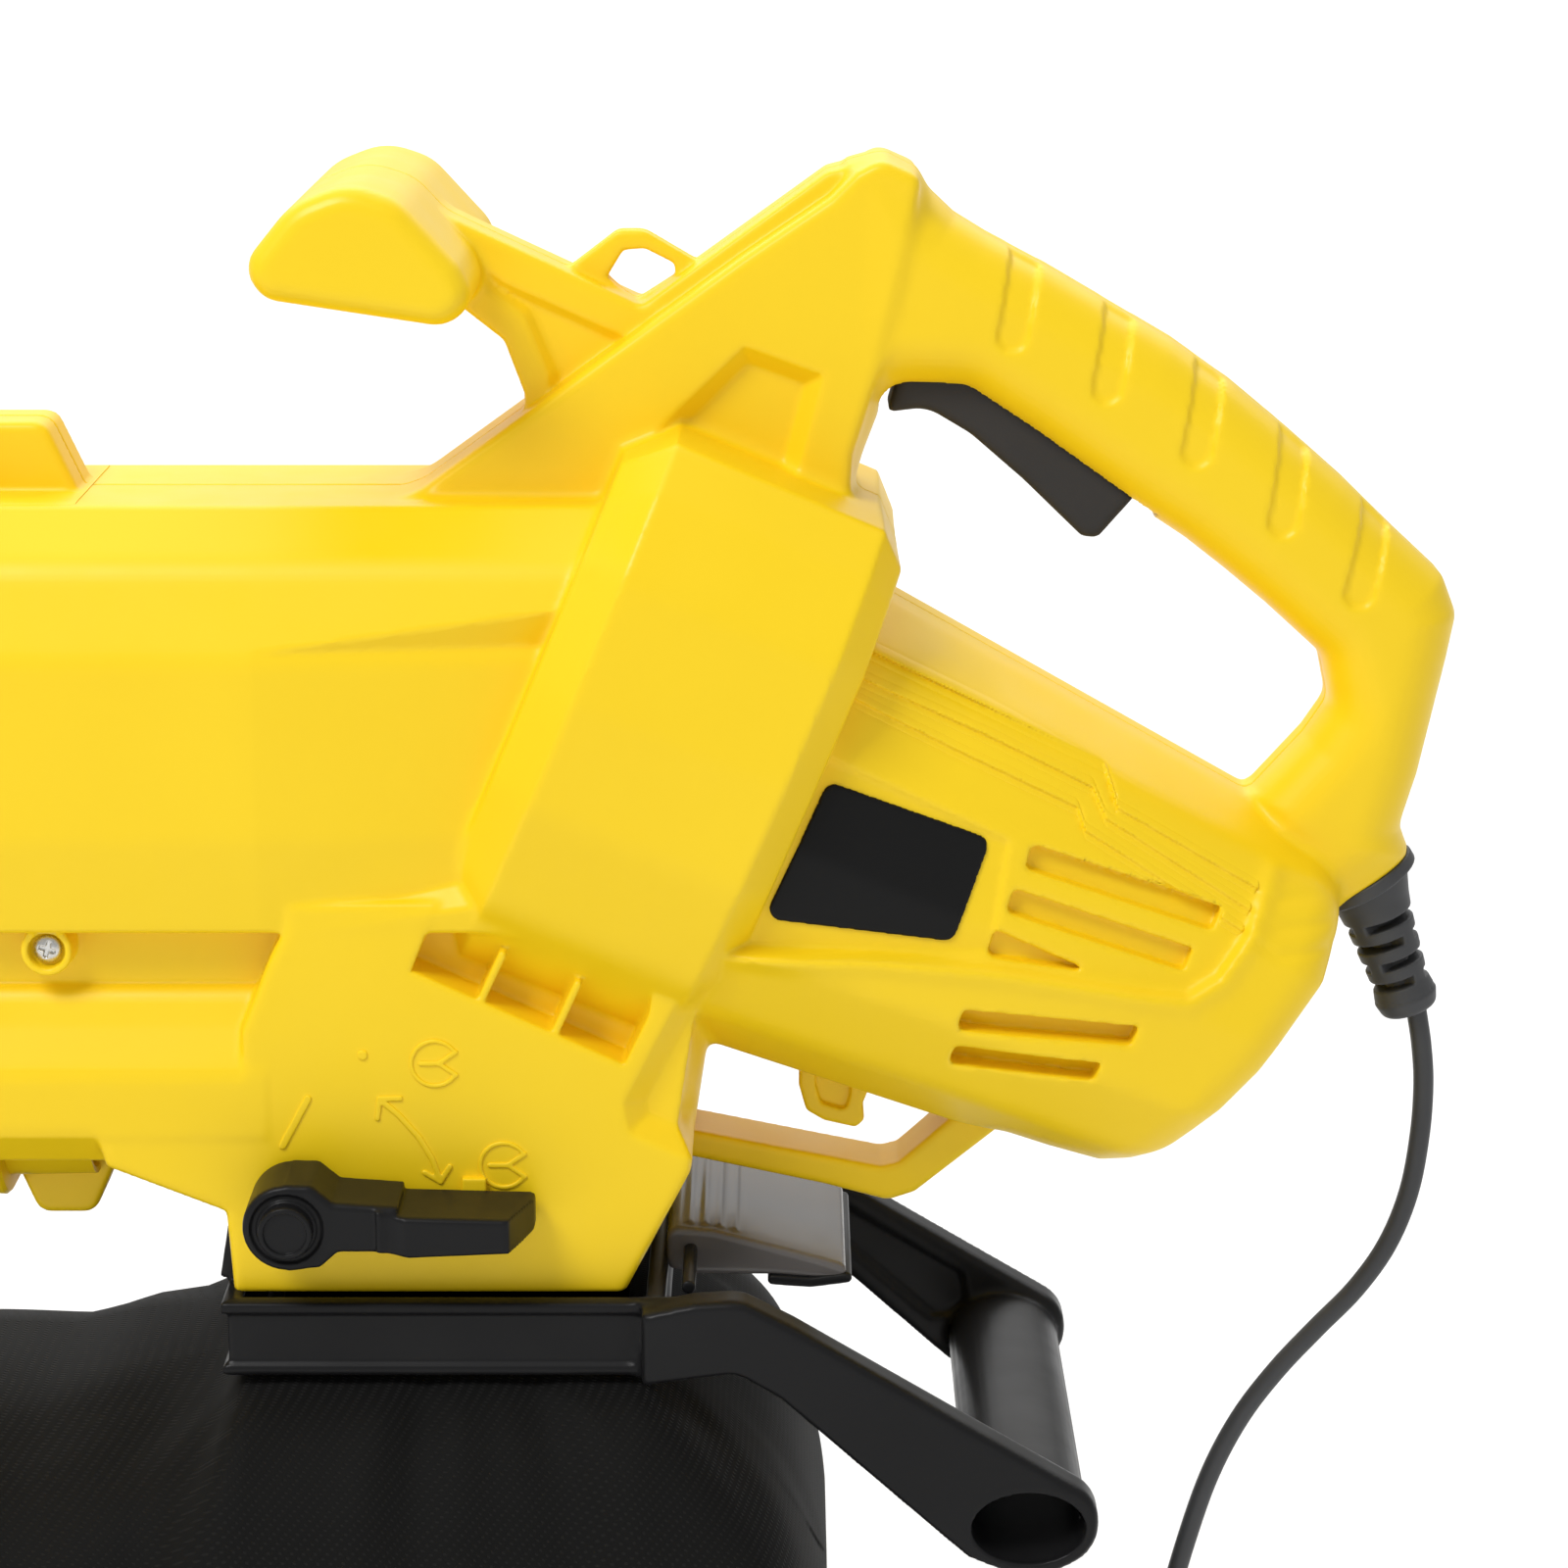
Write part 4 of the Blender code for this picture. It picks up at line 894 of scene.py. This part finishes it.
def pan_head(px, pz, level, side, shank):
    """Field of a pan-head screw with a cross recess, its head's seat at the given level."""
    def field(x, y, z):
        t = y * side
        radius = hypot(x - px, z - pz)
        head = most(np.sqrt(radius ** 2 + (t - level + 5.2) ** 2) - 7.4, radius - 3.9)
        head = most(head, level - t)
        arms = least(abs(x - px - 0.3 * (z - pz)), abs(z - pz + 0.3 * (x - px)))
        recess = most(arms - 0.65, radius - 2.4, level + 0.8 - t)
        stem = most(radius - 1.8, most(t - level - 0.5, level - shank - t))
        return least(most(head, -recess), stem)
    return field


def make_screws():
    for number, (px, pz, half) in enumerate(RIGHT_SCREWS, 1):
        level = half - 2.4
        field = pan_head(px, pz, level, 1, 8)
        carve(f"casing_screw_{number}_skin", (px - 4, level - 9, pz - 4),
            (px + 4, level + 3, pz + 4), 0.35, field, STEEL)
    px, pz = SCREW_BOSS
    carve("boss_screw", (px - 4, -57, pz - 4), (px + 4, -46, pz + 4), 0.3,
        pan_head(px, pz, 53.4, -1, 6), STEEL)


def pin_field(px, pz, radius, half):
    return lambda x, y, z: slab(hypot(x - px, z - pz) - radius, abs(y) - half, 0.4)


DOUBLE_ARROW = ((-13.8, 379.4), (-8.5, 374.5), (-3, 368), (0.6, 361.5), (2.8, 354.7))


def marks_field(x, y, z):
    """Generic raised signs beside the lever: a dot, a dash, two dials and a double arrow."""
    signs = [hypot(x + 18.3, z - 392.4) - 1.5]
    strokes = [(1.1, ((-41.6, 365.4), (-34.1, 379.4))), (0.9, DOUBLE_ARROW),
               (0.8, ((-14.6, 373.6), (-13.8, 379.4), (-8, 379.6))),
               (0.8, ((-1.6, 357.4), (2.8, 354.7), (5.6, 359.2)))]
    for px, pz in ((1.9, 389.9), (20.8, 359.6)):
        turn = np.arctan2(z - pz, x - px)
        ring = abs(hypot(x - px, z - pz) - 6.6) - 0.6
        signs.append(most(ring, 0.5 - abs(turn)))
        strokes += [(0.7, ((px + 6, pz - 3.4), (px + 1.2, pz), (px + 6, pz + 3.4))),
                    (0.7, ((px - 4, pz), (px + 1.2, pz)))]
    signs += [to_line(line, x, z) - width for width, line in strokes]
    return slab(least(*signs), abs(y + 59.9) - 0.65, 0.3)


def stop_field(x, y, z):
    return slab(most(abs(x - 12.5) - 3.4, abs(z - 353.4) - 2.8), abs(y + 60.6) - 1.7, 0.5)


def bead_field(x, y, z):
    """Soft lip along the latch's pressing edge."""
    line = to_line(((97, 314.6), (108, 313.8), (118.5, 315.2)), x, z)
    return slab(line - 1.6, abs(y) - 34.6, 1)


def bracket_field(x, y, z):
    """Round motor plate with a bearing hole and eight air windows."""
    s, r = motor_axes(x, z)
    radius = hypot(r, y)
    windows = most(abs(radius - 40) - 8, 0.3 - abs(np.sin(4 * np.arctan2(r, y))))
    plate = slab(most(radius - 55, 11.6 - radius), abs(s - 87.5) - 3.2, 0.8)
    return minus(plate, windows, 0.8)


def flap_field(x, y, z):
    """Flap with both free corners cut off, clear of the pocket under the drum."""
    t = abs(y)
    plan = most(abs(x - 3.7) - 36.2, t - 55.8, (t - 42) + (x - 22) * 1.2 - 14)
    return slab(plan, abs(z - 350) - 1.3, 0.5)


make_screws()
carve("airflow_flap_skin", (-33, -56, 348), (41, 56, 352), 0.6, flap_field, NYLON,
    "selector")
carve("side_marks", (-44, -60.8, 351), (29, -59, 399), 0.4, marks_field)
carve("latch_bead", (95, -35, 311), (121, 35, 318), 0.6, bead_field, BLACK, "latch")
carve("lever_stop", (8, -63, 350), (17, -58, 357), 0.4, stop_field)
carve("latch_pin_skin", (70, -66, 321), (76, 66, 327), 0.5, pin_field(73, 324, 2, 64), BLACK,
    "bag_carrier")
carve("motor_bracket_skin", (86, -58, 396), (138, 58, 510), 1, bracket_field, BLACK)
carve("trigger_pin_skin", (134, -12, 576), (141, 12, 583), 0.5, pin_field(137.5, 579.5, 2, 12),
    STEEL)


# -------- twin tube

def close_up(mesh, *rings):
    """Cap the given rings of vertices and turn every face outwards."""
    bm = bmesh.new()
    bm.from_mesh(mesh)
    bm.verts.ensure_lookup_table()
    caps = [bm.faces.new([bm.verts[k] for k in ring]) for ring in rings]
    bmesh.ops.triangulate(bm, faces=caps)
    bmesh.ops.recalc_face_normals(bm, faces=bm.faces)
    bm.to_mesh(mesh)
    bm.free()
    mesh.shade_smooth()


def loft(name, loops):
    """Closed skin through loops of equal point count, in the tool's millimetres."""
    verts = np.array([point for loop in loops for point in loop], float)
    mesh = grid_mesh(name, verts, ring_faces(len(loops), len(loops[0]), closed=True))
    close_up(mesh)
    mesh.set_sharp_from_angle(angle=radians(38))
    add_piece(name, mesh, YELLOW, "housing")


def resample(points, count):
    """Evenly spaced points along a closed outline."""
    ring = np.array(list(points) + [points[0]])
    steps = hypot(*np.diff(ring, axis=0).T)
    run = np.concatenate([[0], np.cumsum(steps)])
    spots = np.linspace(0, run[-1], count, endpoint=False)
    return np.stack([interp(spots, run, ring[:, axis]) for axis in (0, 1)], axis=1)


TUBE_OUTLINE = (
    (-33, 544, 8), (33, 544, 8), (52, 531, 16), (61.5, 506, 20), (62.5, 455, 30), (60, 427.5, 6),
    (-60, 427.5, 6), (-62.5, 455, 30), (-61.5, 506, 20), (-52, 531, 16))
NOZZLE_OUTLINE = (
    (-18, 34, 14), (18, 34, 14), (37, 14, 18), (37, -14, 18), (18, -34, 14), (-18, -34, 14),
    (-37, -14, 18), (-37, 14, 18))


# x and growth of the suction tube's outer rings, up to its cut mouth
TUBE_BANDS = (
    (-127.4, 0.6), (-128.4, 1.6), (-147, 1.6), (-148, 0.2), (-298, 0), (-299, 1.4), (-306, 1.4),
    (-307, 0), (-312, 0), (-313, 1.4), (-320, 1.4), (-321, 0), (-500, 0), (-501, 1.2), (-507, 1.2),
    (-508, 0), (-690, 0), (-691, 1.4))
# x, middle height, size and growth of the blow tube's rings, out and back in
BLOW_RINGS = (
    (-127.4, 376.5, 1.18, 0.4), (-128.4, 376.5, 1.18, 1.2), (-143, 377, 1.17, 1.2),
    (-144, 377, 1.16, 0), (-170, 380, 1, 0), (-300, 384.5, 0.93, 0), (-301, 384.5, 0.93, 1.2),
    (-307, 384.8, 0.92, 1.2), (-308, 384.8, 0.92, 0), (-560, 394, 0.81, 0), (-600, 397.5, 0.74, 0),
    (-632, 399.6, 0.7, 0), (-633, 399.6, 0.7, 1.2), (-639.4, 400, 0.69, 1.2),
    (-640, 400, 0.69, 0.6), (-640, 400, 0.69, -2.4), (-560, 394, 0.81, -2.5),
    (-170, 380, 1, -2.5), (-132, 376.5, 1.06, -2.5), (-104, 376.5, 1.06, -2.5),
    (-102.2, 376.5, 1.06, -2), (-102, 376.5, 1.06, -0.4), (-127.2, 376.5, 1.07, -0.3))
TUBE_MIDDLE = 485.75
TUBE_TIP = -712
MOUTH_CUT = 45  # how far the mouth's top reaches past its bottom


def tube_loop(section, x, grow, middle, mouth=0, size=1):
    """Section grown outwards and placed at x; mouth cuts its end back below."""
    centre = section.mean(axis=0)
    offset = section - centre
    reach = abs(offset).max(axis=0)
    scale = (size * reach + grow) / reach
    shaped = offset * scale + [0, middle]
    top = shaped[:, 1].max()
    tall = top - shaped[:, 1].min()
    return [(x + mouth * (top - z) / tall, y, z) for y, z in shaped]


def make_tubes():
    section = resample(arc_corners(TUBE_OUTLINE, 8), 160)
    loops = [tube_loop(section, x, grow, TUBE_MIDDLE) for x, grow in TUBE_BANDS]
    loops += [tube_loop(section, TUBE_TIP + back, grow, TUBE_MIDDLE, MOUTH_CUT)
              for back, grow in ((1, 1.4), (0, 0.6), (0, -2.5))]
    loops += [tube_loop(section, x, grow, TUBE_MIDDLE)
              for x, grow in ((-600, -2.6), (-140, -2.8), (-132, -6), (-100, -6), (-97.6, -5.5),
                              (-97.4, -3.8), (-127.2, -3.6), (-127.4, -3.4))]
    loft("suction_tube_skin", loops)
    section = resample(arc_corners(NOZZLE_OUTLINE, 8), 120)
    loops = [tube_loop(section, x, grow, middle, size=size)
             for x, middle, size, grow in BLOW_RINGS]
    loft("blow_tube_skin", loops)


make_tubes()


# -------- mains lead

CORD_ROUTE = (
    (287.3, 0, 386.4), (289.2, 0, 375.5), (290.3, 0, 363), (289.8, 0, 347), (287.2, 0, 329),
    (281.4, 0, 312.5), (272.6, 1, 298), (261.5, 2, 285), (250, 3, 271), (239.5, 5, 254.5),
    (231, 7, 235), (224.5, 9, 212), (219, 12, 186), (214.5, 15, 158), (210.5, 18, 130),
    (207, 22, 102), (204, 27, 74), (202.5, 34, 48), (203, 44, 26), (206, 60, 10),
    (207, 80, 3.6), (200, 99, 3.3), (184, 113, 3.3), (163, 121, 3.3), (141, 123, 3.3),
)
CORD_DIAMETER = 6


def smooth_route(route, pieces=6):
    """Catmull-Rom points through the route."""
    points = [Vector(spot) for spot in route]
    ends = [points[0] * 2 - points[1]] + points + [points[-1] * 2 - points[-2]]
    fine = []
    for a, b, c, d in zip(ends, ends[1:], ends[2:], ends[3:]):
        for step in range(pieces):
            t = step / pieces
            fine.append(0.5 * (2 * b + (c - a) * t + (2 * a - 5 * b + 4 * c - d) * t * t
                               + (3 * b - a - 3 * c + d) * t * t * t))
    return fine + [points[-1]]


def make_cord():
    line = smooth_route(CORD_ROUTE)
    sides = 18
    across = Vector((0, 1, 0))
    verts = []
    for index, spot in enumerate(line):
        along = (line[min(index + 1, len(line) - 1)] - line[max(index - 1, 0)]).normalized()
        across = (across - along * across.dot(along)).normalized()
        up = along.cross(across)
        for k in range(sides):
            angle = 2 * pi * k / sides
            verts.append(spot + (across * cos(angle) + up * sin(angle)) * CORD_DIAMETER / 2)
    faces = ring_faces(len(line), sides)[:, ::-1]
    mesh = grid_mesh("power_cord_skin", np.array(verts, float), faces)
    piece = add_piece("power_cord_skin", mesh, RUBBER, "housing")


def plug_field(x, y, z):
    """Moulded plug: waisted body with grip ribs and a short sleeve towards the cord."""
    spots = [96, 104, 118, 132, 141]
    wide = interp(x, spots, [13.2, 13.5, 10.5, 8, 5]).astype(np.float32)
    tall = interp(x, spots, [10.6, 10.4, 8.6, 7, 4.2]).astype(np.float32)
    lift = interp(x, [96, 118, 141], [11.2, 9.6, 5]).astype(np.float32)
    body = slab(abs(y - 123) - wide, abs(z - lift) - tall, 3.5)
    body = slab(body, abs(x - 118.5) - 22, 1.5)
    ribs = 0.8 * np.exp(-((np.mod(x, 4) - 2) / 0.7) ** 2) * ramp(x, 106, 109)
    ribs = ribs * ramp(129 - x, 0, 3)
    return most(body + ribs, 0.35 - z)


def plug_pins_field(x, y, z):
    radius = least(hypot(y - 116, z - 11), hypot(y - 130, z - 11))
    return slab(radius - 2.3, abs(x - 90.5) - 11, 1.6)


plug_body = carve("plug_skin", (96, 108, 0), (141, 138, 23), 0.7, plug_field, RUBBER)
plug_pins = carve("plug_pins", (79, 113, 8), (102, 133, 14), 0.5, plug_pins_field, STEEL)
make_cord()


# -------- collection bag

DOT_SPACING = 0.0034  # metres between the cloth's pressed dots
BAG_FRONT, BAG_LENGTH = -397, 510
CLOTH_THICKNESS = 1.2


def bag_cloth():
    """Black non-woven cloth with its pressed dots."""
    made = material("bag_cloth_black", (0.006, 0.006, 0.006), 0.75, sheen=0.04, specular=0.12)
    nodes = Nodes(made)
    nodes.shader.inputs["Sheen Roughness"].default_value = 0.4
    split = nodes.add("SeparateXYZ")
    nodes.link(nodes.coordinates(), split.inputs["Vector"])
    x, y, z = split.outputs

    def wave(first, second):
        turns = nodes.maths("MULTIPLY", nodes.maths("ADD", first, second), 2 * pi / DOT_SPACING)
        return nodes.maths("COSINE", turns)

    product = nodes.maths("MULTIPLY", wave(x, y), wave(y, z))
    dots = nodes.remap(product, 0.35, 0.8, 1, 0)
    colour = nodes.mix_colour(dots, (0.01, 0.0098, 0.0092), (0.005, 0.0049, 0.0046))
    nodes.link(colour, nodes.shader.inputs["Base Color"])
    nodes.bump(dots, 0.6, 0.0003)
    return made


def bag_wrinkle(x, y, z):
    """Height of the cloth over its plain form, from slow folds that run off the collar."""
    turn = np.arctan2(y, x - 3)
    reach = hypot(x - 3, y)
    near = np.exp(-most(reach - 75, 0) / 55) * ramp(z, 150, 280)
    folds = np.sin(turn * 17 + 1.3 * np.sin(turn * 3)) + 0.6 * np.sin(turn * 29 + 2)
    slow = np.sin(x * 0.021 + 0.7 * np.sin(z * 0.017) + 1) * np.sin(y * 0.019 + z * 0.023 + 0.4)
    fine = np.sin(x * 0.055 + z * 0.041 + 1.7 * np.sin(x * 0.013 + y * 0.02))
    creases = np.sin(z * 0.09 + 2 * np.sin(x * 0.016) + y * 0.012)
    return 1.8 * near * folds + 3.2 * slow + 1.2 * fine + 0.6 * creases


def make_bag():
    """Full bag: a lofted cloth shell that stands on its flat bottom and hangs from the collar."""
    along, around = ((150, 200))
    stations = np.linspace(0, 1, along)
    x = BAG_FRONT + BAG_LENGTH * (0.5 - 0.5 * np.cos(pi * stations))
    ends = clip(least((x - BAG_FRONT) / 60, (113.5 - x) / 22), 0, 1)
    swell = np.sqrt(1 - (1 - ends) ** 2.6)
    turn = np.linspace(-pi, pi, around, endpoint=False) + pi / around
    c, s = np.cos(turn), np.sin(turn)
    square_y = np.sign(s) * abs(s) ** 0.36
    square_z = np.sign(c) * abs(c) ** 0.36
    half = interp(x, [-397, -250, 113], [100, 109, 108])[:, None]
    half = half * (0.3 + 0.7 * swell[:, None])
    top = interp(x, [-397, -300, -150, -118, -98, -62, -56, 60, 70, 90, 113],
                    [246, 274, 280, 281, 287, 290, 298, 298, 292, 279, 263])
    low = 26 * (1 - swell)
    middle = ((top + low) / 2)[:, None]
    tall = ((top - low) / 2)[:, None] * (0.7 + 0.3 * swell[:, None])
    xs = np.repeat(x[:, None], around, axis=1)
    ys = half * square_y[None, :]
    zs = middle + tall * square_z[None, :]
    # cloth falls away from the collar to the sides and to the back
    outside = most(abs(ys) - 66, xs - 62, -62 - xs)
    upper = ramp(zs, 160, 270)
    zs = zs - upper * 0.0032 * ys * ys * ramp(-xs, 56, 84)
    zs = zs - upper * least(clip(outside, 0, 60) ** 2 * 0.006, 14) * ramp(xs, -90, -50)
    pull = bag_wrinkle(xs, ys, zs)
    ys = ys + np.sign(ys) * pull * (abs(square_y)[None, :] > 0.55)
    zs = zs + where(square_z[None, :] > 0.55, pull * 0.5, 0) * ramp(outside, 2, 16)
    zs = clip(zs, 0.6, 298.8)
    verts = np.stack([xs, ys, zs], axis=2).reshape(-1, 3)
    faces = ring_faces(along, around)
    px, py, pz = verts[faces].mean(axis=1).T
    mouth = (abs(px - 3) < 52) & (abs(py) < 58) & (pz > 270)
    mesh = grid_mesh("collection_bag_skin", verts, faces[~mouth])
    close_up(mesh, range(around), range((along - 1) * around, along * around))
    bag = add_piece("collection_bag_skin", mesh, bag_cloth(), "bag_carrier")
    shell = bag.modifiers.new("cloth", "SOLIDIFY")
    shell.thickness = CLOTH_THICKNESS * MM
    shell.offset = -1


make_bag()


# -------- finishes of the kept CAD solids

KEPT = {"steel": STEEL, "copper": COPPER, "brass": BRASS, "nylon_black": NYLON,
        "frame_black": BLACK, "cord_rubber": RUBBER, "casing_yellow": YELLOW,
        "guard_yellow": YELLOW}


def finish_kept():
    """Give every CAD solid the finish that its material's name ends with."""
    for obj in bpy.data.objects:
        if obj.type != "MESH" or obj.name not in frame["nodes"]:
            continue
        for slot in obj.material_slots:
            base = slot.material.name.split(".")[0] if slot.material else ""
            for key, made in KEPT.items():
                if base.endswith(key):
                    slot.material = made
                    break


finish_kept()
